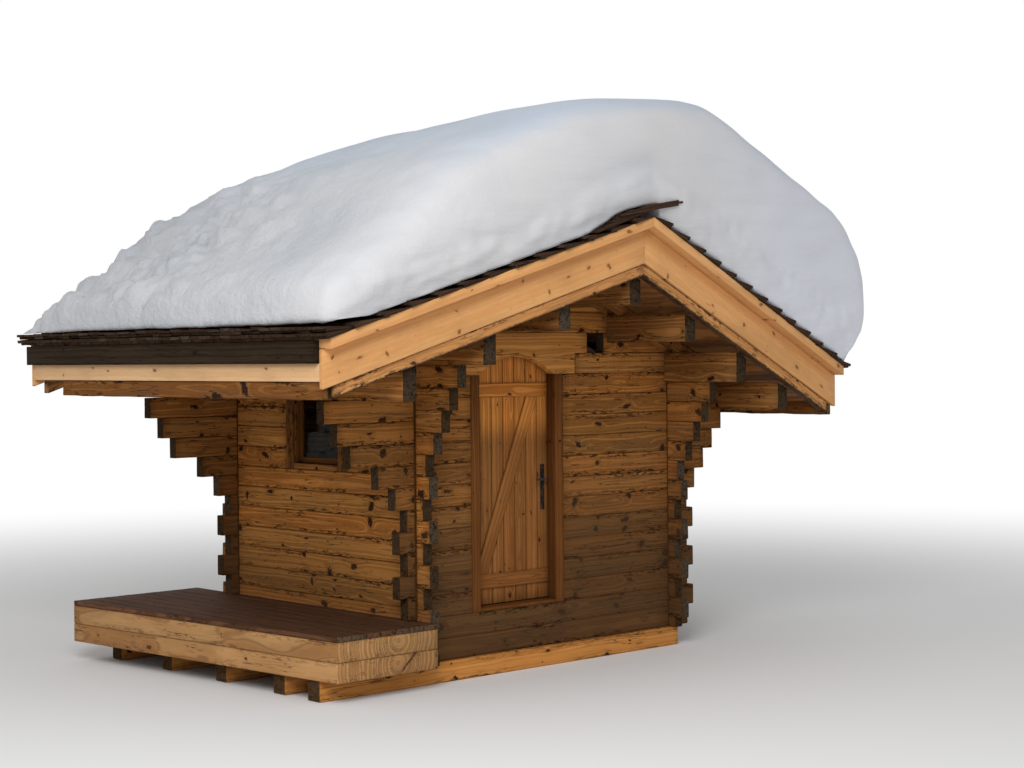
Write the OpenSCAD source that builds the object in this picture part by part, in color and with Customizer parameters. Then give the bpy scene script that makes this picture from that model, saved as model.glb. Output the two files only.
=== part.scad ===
// Small alpine log cabin with crossed, corbelled corners, a deep pointed gable roof and a side deck.
// Millimetres, +Z up, the door faces -Y, origin on the ground under the middle of the walls.

/* [Walls] */
// Width of the cabin over its side walls
cabin_w = 2930; // [2700:10:3300]
// Depth of the cabin over its front and rear walls
cabin_d = 2450; // [2200:10:2900]
// Thickness of the hewn logs
log_t = 88; // [70:1:110]
// Height of one course of logs
log_h = 170; // [150:1:190]
// Gap between one log and the next
log_gap = 0.4; // [0.2:0.1:0.8]
// Chamfer along the long edges of a log
log_chamfer = 5; // [2:0.5:10]
// Reach of the longest log end on the left
corbel_reach_x = 868; // [800:4:900]
// Step from one corbelled log end to the next across the cabin
corbel_step_x = 120; // [100:2:130]
// Reach of the longest log end to the front and rear
corbel_reach_y = 500; // [440:4:560]
// Step from one corbelled log end to the next along the cabin
corbel_step_y = 94; // [80:2:100]
// Length of the shortest log ends
short_end = 85; // [60:5:110]
// Extra length of every second log end low on the corners
zigzag = 78; // [40:2:110]

/* [Base and deck] */
// Height of the cross joists that everything stands on
joist_h = 160; // [120:5:220]
// Width of a cross joist
joist_w = 150; // [110:5:200]
// Spacing of the cross joists
joist_pitch = 770; // [650:10:780]
// Reach of the deck beyond the left wall at its rear end
deck_reach = 1230; // [1000:10:1400]
// How much narrower the deck is at its front end
deck_skew = 270; // [0:10:350]
// Reach of the deck behind the rear wall
deck_rear = 560; // [450:10:700]
// Reach of the deck in front of the front wall
deck_front = 250; // [100:10:400]
// Thickness of the deck and floor boards
board_t = 40; // [25:1:55]
// Thickness of the deck's edge beams
deck_beam_t = 110; // [80:5:150]

/* [Door] */
// Clear width between the door posts
door_w = 820; // [760:5:880]
// Left edge of the doorway from the left wall's outer face
door_x = 666; // [620:2:720]
// Rise of the arch above the lintel's shoulders
arch_rise = 147; // [110:1:160]
// Width of a door post
post_w = 95; // [80:1:110]
// Depth of a door post, which passes the wall on the inside
post_d = 140; // [136:1:170]
// Thickness of the door's boards
leaf_t = 28; // [22:1:32]
// Thickness of the rails and the brace on the boards
rail_t = 14; // [10:1:18]
// Height of the rails
rail_w = 115; // [90:5:140]
// Clearance all round the door leaf
leaf_gap = 8; // [7.5:0.5:10]
// How far the leaf runs behind the posts and the lintel
leaf_lap = 26; // [20:1:36]
// Height of the door handle above the floor
handle_h = 1010; // [950:10:1050]
// Radius of a hinge pin
pin_r = 6; // [5:0.5:8]

/* [Window] */
// Width of the opening in the logs for the window
window_w = 800; // [600:10:850]
// Distance of the window from the rear wall's outer face
window_from_rear = 797; // [700:10:900]
// Courses that the window is high
window_courses = 4; // [3:1:5]
// Width of the window posts
window_post_w = 105; // [70:5:120]
// Height of the window's head and sill
window_end_h = 50; // [35:1:70]
// Width of the sash bars round the glass
sash_w = 48; // [35:1:60]
// Thickness of the sash
sash_t = 36; // [28:1:45]
// Thickness of the glass
glass_t = 6; // [4:1:10]

/* [Roof] */
// Pitch of the left slope in degrees
left_pitch = 17.6; // [15:0.1:20]
// Height of a purlin
purlin_h = 230; // [200:2:250]
// Height of the upper purlins, which pass just over the lintel
upper_purlin_h = 200; // [170:2:200]
// Width of a purlin
purlin_w = 130; // [110:2:160]
// Distance of the outer right purlin from the ridge
outer_right = 2030; // [1950:5:2080]
// Overhang of the bargeboards at the ridge
ridge_overhang = 1050; // [900:10:1150]
// How far the gable edge draws back for each unit away from the ridge
prow = 0.09; // [0.04:0.01:0.12]
// How far the purlin ends stay behind the bargeboards
purlin_back = 110; // [60:5:160]
// Reach of the left slope from the ridge
left_reach = 2930; // [2800:10:3050]
// Reach of the right slope from the ridge
right_reach = 2700; // [2600:10:2850]
// Height of the rafters on the purlins
rafter_h = 95; // [60:5:120]
// Thickness of the boards that close the gables under the soffit
closing_t = 60; // [30:5:80]
// How far their face lies behind the logs
closing_in = 14; // [4:2:20]
// Width of a rafter
rafter_w = 70; // [50:5:100]
// Rafters on a slope
rafters_each = 6; // [4:1:8]
// Thickness of the boards on the rafters
soffit_t = 28; // [20:1:35]
// Height of a bargeboard
barge_h = 275; // [230:5:310]
// Thickness of a bargeboard
barge_t = 42; // [30:1:60]
// Height of the verge strip over a bargeboard
strip_h = 80; // [60:5:100]
// How far the verge strip stands proud of its bargeboard
strip_proud = 18; // [8:1:30]
// Height of the pale fascia at an eave
fascia_h = 125; // [90:5:150]
// Thickness of a fascia
fascia_t = 36; // [25:1:50]
// Height of the fascia's foot over the purlin line at the eave
fascia_up = 148; // [110:2:180]
// Height of the old beam under a fascia
eave_beam_h = 125; // [90:5:150]
// Width of the old beam under a fascia
eave_beam_w = 90; // [60:5:120]
// How far the old beam stays behind its fascia
eave_beam_back = 12; // [0:2:40]
// How far the dark eave board stands proud of the pale fascia
eave_board_proud = 45; // [20:5:70]
// Thickness of the roof deck under the shingles
roof_deck_t = 24; // [18:1:32]
// Number of shingle courses on a slope
shingle_courses = 13; // [10:1:16]
// Thickness of the shingle layer at the butt of a course
shingle_butt = 50; // [36:1:60]
// Thickness of the shingle layer at the head of a course
shingle_head = 18; // [12:1:24]
// Overhang of the shingles past the boards
shingle_over = 70; // [50:5:90]
// Reach of the ridge comb past the ridge
comb_reach = 330; // [250:10:400]
// How far the comb starts before the ridge
comb_back = 370; // [200:10:450]
// Thickness of the ridge comb
comb_t = 44; // [30:1:60]
// Depth of the snow over the ridge
snow_depth = 860; // [600:10:1000]
// Reach of the snow past the front gable edge
snow_front = 145; // [60:5:180]
// Reach of the snow past the rear gable edge
snow_rear = 55; // [20:5:120]

/* [Hidden] */
eps = 1;

// Wall planes
left_x = -cabin_w / 2;
right_x = cabin_w / 2;
front_y = -cabin_d / 2;
rear_y = cabin_d / 2;

// Courses of the front and rear walls: two below the floor, eleven beside the door, two behind the lintel
sill_courses = 2;
door_courses = 11;
lintel_courses = 2;
corner_courses = 12;
gable_first = corner_courses;
gable_last = 17;
left_courses = 13;
right_courses = 12;
floor_z = joist_h + sill_courses * log_h;
lintel_z = joist_h + (sill_courses + door_courses) * log_h;
left_top = joist_h + log_h / 2 + left_courses * log_h;
right_top = joist_h + log_h / 2 + right_courses * log_h;
function course_z(i) = joist_h + i * log_h;

// Roof lines, as heights over the tops of the purlins
wall_axis = cabin_w / 2 - log_t / 2;
left_slope = tan(left_pitch);
ridge_z = left_top + purlin_h + wall_axis * left_slope;
right_slope = (ridge_z - right_top - purlin_h) / wall_axis;
barge_base = rafter_h;
barge_top = barge_base + barge_h;
deck_top = barge_top + strip_h;
function purlin_top(x) = ridge_z - abs(x) * (x < 0 ? left_slope : right_slope);
function gable_y(x) = cabin_d / 2 + ridge_overhang - prow * abs(x);
function reach_of(side) = side < 0 ? left_reach : right_reach;
span_y = cabin_d / 2 + ridge_overhang + 300;

// Places of the purlins across the roof
upper_axis = wall_axis / 2;
outer_left = wall_axis * 1.5;
left_corbel_z = course_z(corner_courses);
right_corbel_z = course_z(corner_courses - 1);

// Reach of a log end past the corner, counted down from the top course
function end_left(row) =
    row < 3 ? corbel_reach_x - row * corbel_step_x :
    row == 3 ? corbel_reach_x - 4.2 * corbel_step_x :
    row == 4 ? corbel_reach_x - 5.57 * corbel_step_x : low_end(row);
function end_right(row) =
    row == 0 ? outer_right - purlin_w / 2 - right_x - log_gap :
    row < 5 ? corbel_reach_x - (row + 1) * corbel_step_x : low_end(row) + 80;
function end_along(row) = row < 5 ? corbel_reach_y - row * corbel_step_y : low_end(row + 1);
function low_end(row) = short_end + (row % 2 == 0 ? zigzag : 0);

// Doorway
door_left = left_x + door_x;
door_right = door_left + door_w;
door_mid = (door_left + door_right) / 2;
arch_r = (door_w * door_w / 4 + arch_rise * arch_rise) / (2 * arch_rise);
arch_cz = lintel_z + arch_rise - arch_r;
lintel_left = door_left - post_w - 120;
lintel_shoulder = door_right + 245;
lintel_right = door_right + 388;
gable_hole_w = 194;
leaf_front = front_y + log_t + leaf_gap;
leaf_face = leaf_front + rail_t;
leaf_back = leaf_face + leaf_t;
leaf_left = door_left - leaf_lap;
leaf_right = door_right + leaf_lap;
leaf_base = floor_z + 36;
sill_h = 28;
hinge_x = leaf_left;
hinge_y = leaf_back + 24;
hinge_levels = [leaf_base + 330, leaf_base + 1480];
eye_r = 14;
eye_h = 40;
top_rail_z = lintel_z - 180;
low_rail_z = leaf_base + 125;

// Window
window_y1 = rear_y - window_from_rear;
window_y0 = window_y1 - window_w;
window_z0 = left_top - (window_courses + 1) * log_h;
window_z1 = left_top - log_h;
window_frame_d = log_t + 24;

// Section of a hewn log with its long edges taken off
module log_profile(w, h) {
    c = log_chamfer;
    polygon([[c, 0], [w - c, 0], [w, c], [w, h - c], [w - c, h], [c, h], [0, h - c], [0, c]]);
}

// Notches a quarter deep, at the foot and head of a log as listed
module notches_x(y, z, height, crossings, at) {
    for (c = crossings, e = at)
        translate([c - log_gap, y - eps, z + e * height - log_h / 4 - log_gap / 2])
            cube([log_t + 2 * log_gap, log_t + 2 * eps, log_h / 2 + log_gap]);
}

module notches_y(x, z, height, crossings, at) {
    for (c = crossings, e = at)
        translate([x - eps, c - log_gap, z + e * height - log_h / 4 - log_gap / 2])
            cube([log_t + 2 * eps, log_t + 2 * log_gap, log_h / 2 + log_gap]);
}

// A log along X from x0 to x1, its front face at y
module log_x(x0, x1, y, z, crossings, height = log_h, at = [0, 1]) {
    difference() {
        translate([x0, y, z + log_gap / 2])
            rotate([90, 0, 90])
                linear_extrude(x1 - x0)
                    log_profile(log_t, height - log_gap);
        notches_x(y, z, height, crossings, at);
    }
}

// A log along Y from y0 to y1, its left face at x
module log_y(y0, y1, x, z, crossings, height = log_h, at = [0, 1]) {
    difference() {
        translate([x, y1, z + log_gap / 2])
            rotate([90, 0, 0])
                linear_extrude(y1 - y0)
                    log_profile(log_t, height - log_gap);
        notches_y(x, z, height, crossings, at);
    }
}

// Upright sheet in the XZ plane, t thick towards +Y from y
module upright(y, t) {
    translate([0, y + t, 0])
        rotate([90, 0, 0])
            linear_extrude(t)
                children();
}

// Everything of one slope between two heights over the purlins
module slope_band(side, low, high, from, to) {
    upright(-span_y, 2 * span_y)
        polygon([
            [side * from, purlin_top(side * from) + low], [side * to, purlin_top(side * to) + low],
            [side * to, purlin_top(side * to) + high], [side * from, purlin_top(side * from) + high]
        ]);
}

// Plan of one slope between its pointed gable edges, drawn in by inset
module slope_plan(side, inset, from, to) {
    linear_extrude(ridge_z + 2000)
        polygon([
            [side * from, gable_y(from) - inset], [side * to, gable_y(to) - inset],
            [side * to, inset - gable_y(to)], [side * from, inset - gable_y(from)]
        ]);
}

// Plan strip along a gable edge, t thick, its outer face drawn in by inset
module edge_plan(side, end, inset, t, from, to) {
    linear_extrude(ridge_z + 2000)
        polygon([
            [side * from, end * (gable_y(from) - inset)], [side * to, end * (gable_y(to) - inset)],
            [side * to, end * (gable_y(to) - inset - t)], [side * from, end * (gable_y(from) - inset - t)]
        ]);
}

module slope_slab(side, low, high, inset, from, to) {
    intersection() {
        slope_band(side, low, high, from, to);
        slope_plan(side, inset, from, to);
    }
}

module edge_board(side, end, low, high, inset, t, from, to) {
    intersection() {
        slope_band(side, low, high, from, to);
        edge_plan(side, end, inset, t, from, to);
    }
}

// Everything above the purlin tops, taken off the gable logs
module above_roof_line() {
    upright(-span_y, 2 * span_y)
        polygon([
            [-3 * wall_axis, purlin_top(-3 * wall_axis) - log_gap], [0, ridge_z - log_gap],
            [3 * wall_axis, purlin_top(3 * wall_axis) - log_gap],
            [3 * wall_axis, ridge_z + 1000], [-3 * wall_axis, ridge_z + 1000]
        ]);
}

// Four joists under deck and cabin, one more under the front wall and a short one under the rear wall
module cross_joists() {
    long = deck_reach - deck_skew + cabin_w;
    deck_joist_y = rear_y + deck_rear - 310;
    color("sienna") {
        for (y = [for (i = [1:3]) deck_joist_y - i * joist_pitch, front_y - 40])
            translate([right_x - long, y, 0])
                cube([long, joist_w, joist_h - log_gap]);
        translate([right_x - long, deck_joist_y, 0])
            cube([long - cabin_w + 100, joist_w, joist_h - log_gap]);
        translate([left_x, rear_y - log_t - 30, 0])
            cube([cabin_w, joist_w, joist_h - log_gap]);
    }
}

module floor_bearers() {
    color("sienna")
        for (x = [left_x + log_t + 40, -joist_w / 2, right_x - log_t - 40 - joist_w])
            translate([x, front_y + log_t + 10, joist_h])
                cube([joist_w, cabin_d - 2 * log_t - 20, floor_z - board_t - joist_h - log_gap]);
}

module floor_boards() {
    color("peru")
        translate([left_x + log_t + 2, front_y + log_t + 2, floor_z - board_t])
            cube([cabin_w - 2 * log_t - 4, cabin_d - 2 * log_t - 4, board_t]);
}

// Plan of the deck, wider at its rear, drawn in by inset
module deck_outline(inset = 0) {
    polygon([
        [left_x - log_gap - inset, front_y - deck_front + inset],
        [left_x - deck_reach + deck_skew + inset, front_y - deck_front + inset],
        [left_x - deck_reach + inset, rear_y + deck_rear - inset],
        [left_x - log_gap - inset, rear_y + deck_rear - inset]
    ]);
}

module deck_beams() {
    beam_h = (floor_z - joist_h - board_t) / 2;
    color("sandybrown")
        difference() {
            for (i = [0, 1])
                translate([0, 0, joist_h + i * beam_h])
                    linear_extrude(beam_h - log_gap)
                        difference() {
                            deck_outline();
                            deck_outline(deck_beam_t);
                        }
            deck_wall_cuts();
        }
}

module deck_boards() {
    color("indianred")
        difference() {
            translate([0, 0, floor_z - board_t])
                linear_extrude(board_t)
                    deck_outline();
            deck_wall_cuts();
        }
}

// Room in the deck for the low log ends that reach into it
module deck_wall_cuts() {
    for (y = [front_y, rear_y - log_t])
        translate([left_x - short_end - zigzag - 4, y - 2, joist_h - eps])
            cube([short_end + zigzag + 10, log_t + 4, floor_z]);
}

// The two lowest logs run through under the doorway
module front_wall_left() {
    color("peru")
        for (i = [0:corner_courses - 1])
            log_x(left_x - end_left(corner_courses - 1 - i),
                i < sill_courses ? right_x + end_right(corner_courses - 1 - i) : door_left - post_w - log_gap,
                front_y, course_z(i), i < sill_courses ? [left_x, right_x - log_t] : [left_x]);
}

module front_wall_right() {
    color("peru")
        for (i = [sill_courses:corner_courses - 1])
            log_x(door_right + post_w + log_gap, right_x + end_right(corner_courses - 1 - i),
                front_y, course_z(i), [right_x - log_t]);
}

module rear_wall() {
    color("peru")
        for (i = [0:corner_courses - 1])
            log_x(left_x - end_left(corner_courses - 1 - i), right_x + end_right(corner_courses - 1 - i),
                rear_y - log_t, course_z(i), [left_x, right_x - log_t]);
}

module lintel_block(grow) {
    translate([lintel_left - grow, front_y - grow, lintel_z - grow])
        cube([lintel_shoulder - lintel_left + 2 * grow, log_t + 2 * grow, 2 * log_h + 2 * grow]);
    translate([lintel_left - grow, front_y - grow, lintel_z + log_h - grow])
        cube([lintel_right - lintel_left + 2 * grow, log_t + 2 * grow, log_h + 2 * grow]);
}

module front_lintel() {
    color("burlywood")
        difference() {
            lintel_block(-log_gap);
            translate([door_mid, front_y - eps, arch_cz])
                rotate([-90, 0, 0])
                    cylinder(h = log_t + 2 * eps, r = arch_r, $fn = 96);
        }
}

// Courses of a gable end over the corners, cut to the roof line and round the purlins
module gable_courses(y) {
    for (i = [gable_first:gable_last])
        difference() {
            log_x(-outer_left + purlin_w / 2 + log_gap, outer_right - purlin_w / 2 - log_gap,
                y, course_z(i), i == gable_first ? [left_x] : []);
            if (i > gable_first)
                translate([-3 * wall_axis, y - eps, course_z(i) - eps])
                    cube([3 * wall_axis + left_x + log_t + log_gap, log_t + 2 * eps, log_h + 2 * eps]);
            translate([right_x - log_t - log_gap, y - eps, course_z(i) - eps])
                cube([3 * wall_axis, log_t + 2 * eps, log_h + 2 * eps]);
            above_roof_line();
            purlin_set(log_gap);
        }
}

// Boards along the roof line, closing the space between a gable and the soffit
module gable_closing(y) {
    difference() {
        intersection() {
            union()
                for (side = [-1, 1])
                    slope_band(side, log_gap, rafter_h - log_gap, log_gap, wall_axis + log_t / 2);
            translate([-2 * wall_axis, y + closing_in, 0])
                cube([4 * wall_axis, closing_t, 2 * ridge_z]);
        }
        purlin_set(log_gap);
    }
}

module front_gable() {
    color("chocolate")
        gable_closing(front_y);
    color("chocolate")
        difference() {
            gable_courses(front_y);
            lintel_block(log_gap);
            translate([door_left - post_w - log_gap, front_y - eps, course_z(gable_first) - eps])
                cube([door_w + 2 * post_w + 2 * log_gap, log_t + 2 * eps, log_h + 2 * eps]);
            translate([lintel_right - eps, front_y - eps, lintel_z + log_h])
                cube([gable_hole_w, log_t + 2 * eps, log_h]);
        }
}

module rear_gable() {
    color("chocolate")
        gable_closing(rear_y - log_t);
    color("chocolate")
        gable_courses(rear_y - log_t);
}

// Side walls: a half log on the joists, then full courses half a course off the front ones
module side_log(x, z, row, height, at) {
    out = end_along(row);
    log_y(front_y - out, rear_y + out, x, z, [front_y, rear_y - log_t], height, at);
}

module side_wall(x, courses) {
    side_log(x, joist_h, courses, log_h / 2, [1]);
    for (j = [0:courses - 1])
        side_log(x, joist_h + log_h / 2 + j * log_h, courses - 1 - j, log_h, j == courses - 1 ? [0] : [0, 1]);
}

module left_wall() {
    color("sandybrown")
        difference() {
            side_wall(left_x, left_courses);
            translate([left_x - eps, window_y0, window_z0])
                cube([log_t + 2 * eps, window_w, window_z1 - window_z0]);
        }
}

module right_wall() {
    color("sandybrown")
        side_wall(right_x - log_t, right_courses);
}

// A purlin with its middle at x, from its foot to the roof line
module purlin(x, foot, grow = 0) {
    reach = gable_y(x) - purlin_back;
    w = purlin_w / 2 + grow;
    upright(-reach, 2 * reach)
        polygon(x == 0
            ? [[-w, foot - grow], [w, foot - grow], [w, purlin_top(w) + grow], [0, ridge_z + grow],
               [-w, purlin_top(-w) + grow]]
            : [[x - w, foot - grow], [x + w, foot - grow], [x + w, purlin_top(x + w) + grow],
               [x - w, purlin_top(x - w) + grow]]);
}

module purlin_set(grow) {
    ridge_shape(grow);
    upper_shape(-1, grow);
    upper_shape(1, grow);
    wall_shape(-1, grow);
    wall_shape(1, grow);
}

module ridge_shape(grow = 0) {
    purlin(0, ridge_z - purlin_h, grow);
}

module upper_shape(side, grow = 0) {
    purlin(side * upper_axis, purlin_top(side * upper_axis) - upper_purlin_h, grow);
}

module wall_shape(side, grow = 0) {
    purlin(side * wall_axis, (side < 0 ? left_top : right_top) + (grow > 0 ? 0 : log_gap), grow);
}

module ridge_purlin() {
    color("saddlebrown") ridge_shape();
}

module left_upper_purlin() {
    color("saddlebrown") upper_shape(-1);
}

module left_wall_purlin() {
    color("saddlebrown") wall_shape(-1);
}

module left_outer_purlin() {
    color("saddlebrown") purlin(-outer_left, left_corbel_z + log_gap);
}

module right_upper_purlin() {
    color("saddlebrown") upper_shape(1);
}

module right_wall_purlin() {
    color("saddlebrown") wall_shape(1);
}

module right_outer_purlin() {
    color("saddlebrown") purlin(outer_right, right_corbel_z + log_gap);
}

// Rafters down both slopes, the outermost along the gable edges
module rafter_row(low, high, inset, tail) {
    for (side = [-1, 1]) {
        to = reach_of(side) - tail;
        for (end = [-1, 1])
            edge_board(side, end, low, high, inset, rafter_w, log_gap, to);
        for (i = [1:rafters_each - 2])
            intersection() {
                slope_band(side, low, high, log_gap, to);
                translate([-4000, -gable_y(0) + i * 2 * gable_y(0) / (rafters_each - 1) - rafter_w / 2, 0])
                    cube([8000, rafter_w, ridge_z + 1000]);
            }
    }
}

module rafters() {
    color("tan") rafter_row(log_gap, rafter_h - log_gap, barge_t - rafter_w / 4, eave_beam_back + eave_beam_w + log_gap);
}

module soffits() {
    color("sienna")
        for (side = [-1, 1])
            slope_slab(side, rafter_h, rafter_h + soffit_t, barge_t + log_gap, log_gap,
                reach_of(side) - eave_beam_back - eave_beam_w - log_gap);
}

module upper_rafters() {
    color("tan")
        rafter_row(rafter_h + soffit_t + log_gap, deck_top - roof_deck_t - log_gap, barge_t + log_gap,
            eave_beam_back + eave_beam_w + log_gap);
}

module roof_deck() {
    color("tan")
        for (side = [-1, 1])
            slope_slab(side, deck_top - roof_deck_t, deck_top, barge_t + log_gap, log_gap, reach_of(side));
}

// Saw-toothed section of the shingle courses of one slope
module shingle_band(side) {
    to = reach_of(side) + shingle_over;
    step = to / shingle_courses;
    upright(-span_y, 2 * span_y)
        polygon([
            [side * log_gap, purlin_top(side * log_gap) + deck_top + log_gap],
            [side * to, purlin_top(side * to) + deck_top + log_gap],
            for (n = [0:shingle_courses - 1], k = [0, 1])
                let (x = to - (n + k) * step, at = max(x, log_gap))
                    [side * at, purlin_top(side * at) + deck_top + (k == 0 ? shingle_butt : shingle_head)]
        ]);
}

module shingles(side) {
    intersection() {
        shingle_band(side);
        slope_plan(side, -strip_proud - shingle_over / 2, log_gap, reach_of(side) + shingle_over);
    }
}

module left_shingles() {
    color("dimgray") shingles(-1);
}

module right_shingles() {
    color("dimgray") shingles(1);
}

module ridge_comb() {
    color("dimgray")
        intersection() {
            upright(-span_y, 2 * span_y)
                polygon([
                    [-comb_back, comb_z(-comb_back)], [comb_reach, comb_z(comb_reach)],
                    [comb_reach, comb_z(comb_reach) + comb_t], [-comb_back, comb_z(-comb_back) + comb_t]
                ]);
            union() {
                slope_plan(-1, -strip_proud - shingle_over / 2, 0, comb_back);
                slope_plan(1, -strip_proud - shingle_over / 2, 0, comb_reach);
            }
        }
}

module front_bargeboard_left() {
    color("burlywood") edge_board(-1, -1, barge_base, barge_top, 0, barge_t, log_gap, left_reach);
}

module front_bargeboard_right() {
    color("burlywood") edge_board(1, -1, barge_base, barge_top, 0, barge_t, log_gap, right_reach);
}

module rear_bargeboards() {
    color("burlywood")
        for (side = [-1, 1])
            edge_board(side, 1, barge_base, barge_top, 0, barge_t, log_gap, reach_of(side));
}

module verge_strips() {
    color("burlywood")
        for (side = [-1, 1], end = [-1, 1])
            edge_board(side, end, barge_top + log_gap, deck_top - log_gap, -strip_proud, strip_proud + barge_t,
                log_gap, reach_of(side));
}

// Board along an eave between the bargeboards, from low to high over the purlin line at the eave
module eave_run(side, x0, x1, z0, z1, inset) {
    intersection() {
        translate([side < 0 ? -x1 : x0, -span_y, z0])
            cube([x1 - x0, 2 * span_y, z1 - z0]);
        slope_plan(side, inset, x0 - eps, x1 + eps);
    }
}

function fascia_z(side) = purlin_top(side * reach_of(side)) + fascia_up;

module left_fascia() {
    z0 = fascia_z(-1);
    color("wheat") eave_run(-1, left_reach - fascia_t, left_reach, z0, z0 + fascia_h, barge_t + log_gap);
}

module left_eave_board() {
    color("saddlebrown")
        eave_run(-1, left_reach - fascia_t, left_reach + eave_board_proud, fascia_z(-1) + fascia_h + log_gap,
            purlin_top(-left_reach) + deck_top - roof_deck_t - log_gap, barge_t + log_gap);
}

module right_fascia() {
    color("wheat")
        eave_run(1, right_reach - fascia_t, right_reach, fascia_z(1),
            purlin_top(right_reach) + deck_top - roof_deck_t - log_gap, barge_t + log_gap);
}

module eave_beams() {
    color("peru")
        for (side = [-1, 1])
            eave_run(side, reach_of(side) - eave_beam_back - eave_beam_w, reach_of(side) - eave_beam_back,
                fascia_z(side) - eave_beam_h, fascia_z(side) - log_gap, barge_t + log_gap);
}

// Snow: a deep rounded blanket that bulges past the right eave, thin over the left one, lofted through
// cross sections that are squeezed towards the gables
snow_foot = deck_top + shingle_butt + log_gap;
snow_share = snow_depth / 860;
snow_left_edge = left_reach + shingle_over;
snow_right_edge = right_reach + shingle_over;
snow_right_z = purlin_top(snow_right_edge + 50);
function comb_z(x) = ridge_z + x * left_slope + deck_top + shingle_butt + log_gap;

// Points of a section: place of the top, its height over the shingles, place of the foot below it
snow_section = [
    [-snow_left_edge - 30, 60, -snow_left_edge - 10], [-snow_left_edge + 100, 350, -snow_left_edge + 50],
    [-snow_left_edge + 600, 520, -snow_left_edge + 600], [-snow_left_edge + 1200, 840, -snow_left_edge + 1200],
    [-1200, 920, -1200], [-600, 960, -comb_back - 24], [-comb_back, 935, -comb_back - 20], [0, 860, 0],
    [comb_reach + 45, 1030, comb_reach + 20], [450, 1080, comb_reach + 24], [900, 1240, 900], [1400, 1240, 1400],
    [1900, 1240, 1900], [2400, 1240, 2400], [snow_right_edge - 20, 1220, snow_right_edge - 70],
    [snow_right_edge + 190, bulge(190, 1080), snow_right_edge - 50],
    [snow_right_edge + 290, bulge(290, 900), snow_right_edge - 30],
    [snow_right_edge + 310, bulge(310, 720), snow_right_edge - 10],
    [snow_right_edge + 240, bulge(240, 530), snow_right_edge + 10],
    [snow_right_edge + 90, bulge(90, 180), snow_right_edge + 40]
];
function bulge(past, height) = snow_right_z + height - purlin_top(snow_right_edge + past);

// Sections from the front to the rear: place between the gable edges, share of the height, draw back, and
// the place of the foot, which stays behind the bulging front
snow_rows = [
    [-1, 0.10, 95, -0.956], [-1, 0.42, 15, -0.95], [-0.99, round_share(0.99, 14, 5), 0, -0.94],
    [-0.97, round_share(0.97, 14, 5), 0, -0.93], [-0.93, round_share(0.93, 14, 5), 0, -0.91],
    for (t = [-0.87, -0.7, -0.35, 0]) [t, round_share(-t, 14, 5), 0, t],
    for (t = [0.25, 0.4, 0.53, 0.65, 0.76, 0.85, 0.92, 0.97]) [t, round_share(t, 3.5, 2.05), 0, t],
    [0.995, 0.1, 0, 0.995]
];
function round_share(t, sharp, blunt) = pow(1 - pow(t, sharp), 1 / blunt);

function snow_y(row, x) =
    row[0] * (gable_y(x) + (row[0] < 0 ? snow_front : snow_rear)) + row[2];
// The front is drawn in toward the ridge low down, beside the comb
function snow_x(row, x) = abs(x) > 500 && row[0] < 0 ? x * (0.9 + 0.1 * row[1]) : x;
function snow_base_z(x) = x > -comb_back - 22 && x < comb_reach + 22
    ? comb_z(x) + comb_t + 10 : purlin_top(x) + snow_foot;
function snow_top(row, p) =
    let (x = snow_x(row, p[0]), y = snow_y(row, x),
         z = purlin_top(x) + snow_foot + p[1] * snow_share * row[1] * (1 - 0.04 * y / 1000))
        [x, y, abs(x) < 500 ? max(z, snow_base_z(p[2]) + 30) : z];
function snow_base(row, foot) =
    let (x = snow_x(row, foot)) [x, snow_y([row[3], 1, 0], x), snow_base_z(x)];

// Skin of a body lofted through rings of points, all with the same number of points
module loft(rings) {
    n = len(rings[0]);
    last = len(rings) - 1;
    polyhedron([for (r = rings) each r], [
        for (r = [0:last - 1], i = [0:n - 1])
            let (a = r * n + i, b = r * n + (i + 1) % n)
                each [[a, b, b + n], [a, b + n, a + n]],
        for (i = [0:n / 2 - 2])
            let (j = n - 1 - i)
                each [[i + 1, i, j], [i + 1, j, j - 1]],
        for (i = [0:n / 2 - 2])
            let (a = last * n, j = n - 1 - i)
                each [[a + i, a + i + 1, a + j], [a + i + 1, a + j - 1, a + j]]
    ]);
}

module roof_snow() {
    last = len(snow_section) - 1;
    color("white")
        loft([
            for (row = snow_rows) [
                for (p = snow_section) snow_top(row, p),
                for (i = [last:-1:0]) snow_base(row, snow_section[i][2])
            ]
        ]);
}

// Door frame: rebated posts under the lintel's shoulders and a sill between them
module door_post(side) {
    inner = side < 0 ? door_left : door_right;
    translate([inner, 0, floor_z + log_gap])
        linear_extrude(lintel_z - floor_z - log_gap)
            polygon([
                [0, front_y], [side * post_w, front_y], [side * post_w, front_y + post_d],
                [side * (leaf_lap + leaf_gap), front_y + post_d], [side * (leaf_lap + leaf_gap), front_y + log_t],
                [0, front_y + log_t]
            ]);
}

module door_frame() {
    color("goldenrod") {
        door_post(-1);
        door_post(1);
        translate([door_left + log_gap, front_y, floor_z + log_gap])
            cube([door_w - 2 * log_gap, log_t + 60, sill_h]);
    }
}

module hinge_pins() {
    color("dimgray")
        for (z = hinge_levels) {
            translate([hinge_x, hinge_y, z - 32])
                cylinder(h = 31, r = 2 * pin_r, $fn = 32);
            translate([hinge_x, hinge_y, z - 32])
                cylinder(h = 32 + eye_h + 8, r = pin_r, $fn = 32);
            translate([hinge_x - 60, front_y + post_d + log_gap, z - 32])
                cube([54, hinge_y - front_y - post_d + pin_r, 31]);
        }
}

module leaf_outline() {
    intersection() {
        translate([leaf_left, leaf_base])
            square([leaf_right - leaf_left, lintel_z]);
        union() {
            translate([door_mid, arch_cz])
                circle(r = arch_r + leaf_lap, $fn = 96);
            translate([leaf_left, leaf_base])
                square([leaf_right - leaf_left, lintel_z - leaf_base - arch_rise]);
        }
    }
}

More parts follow.
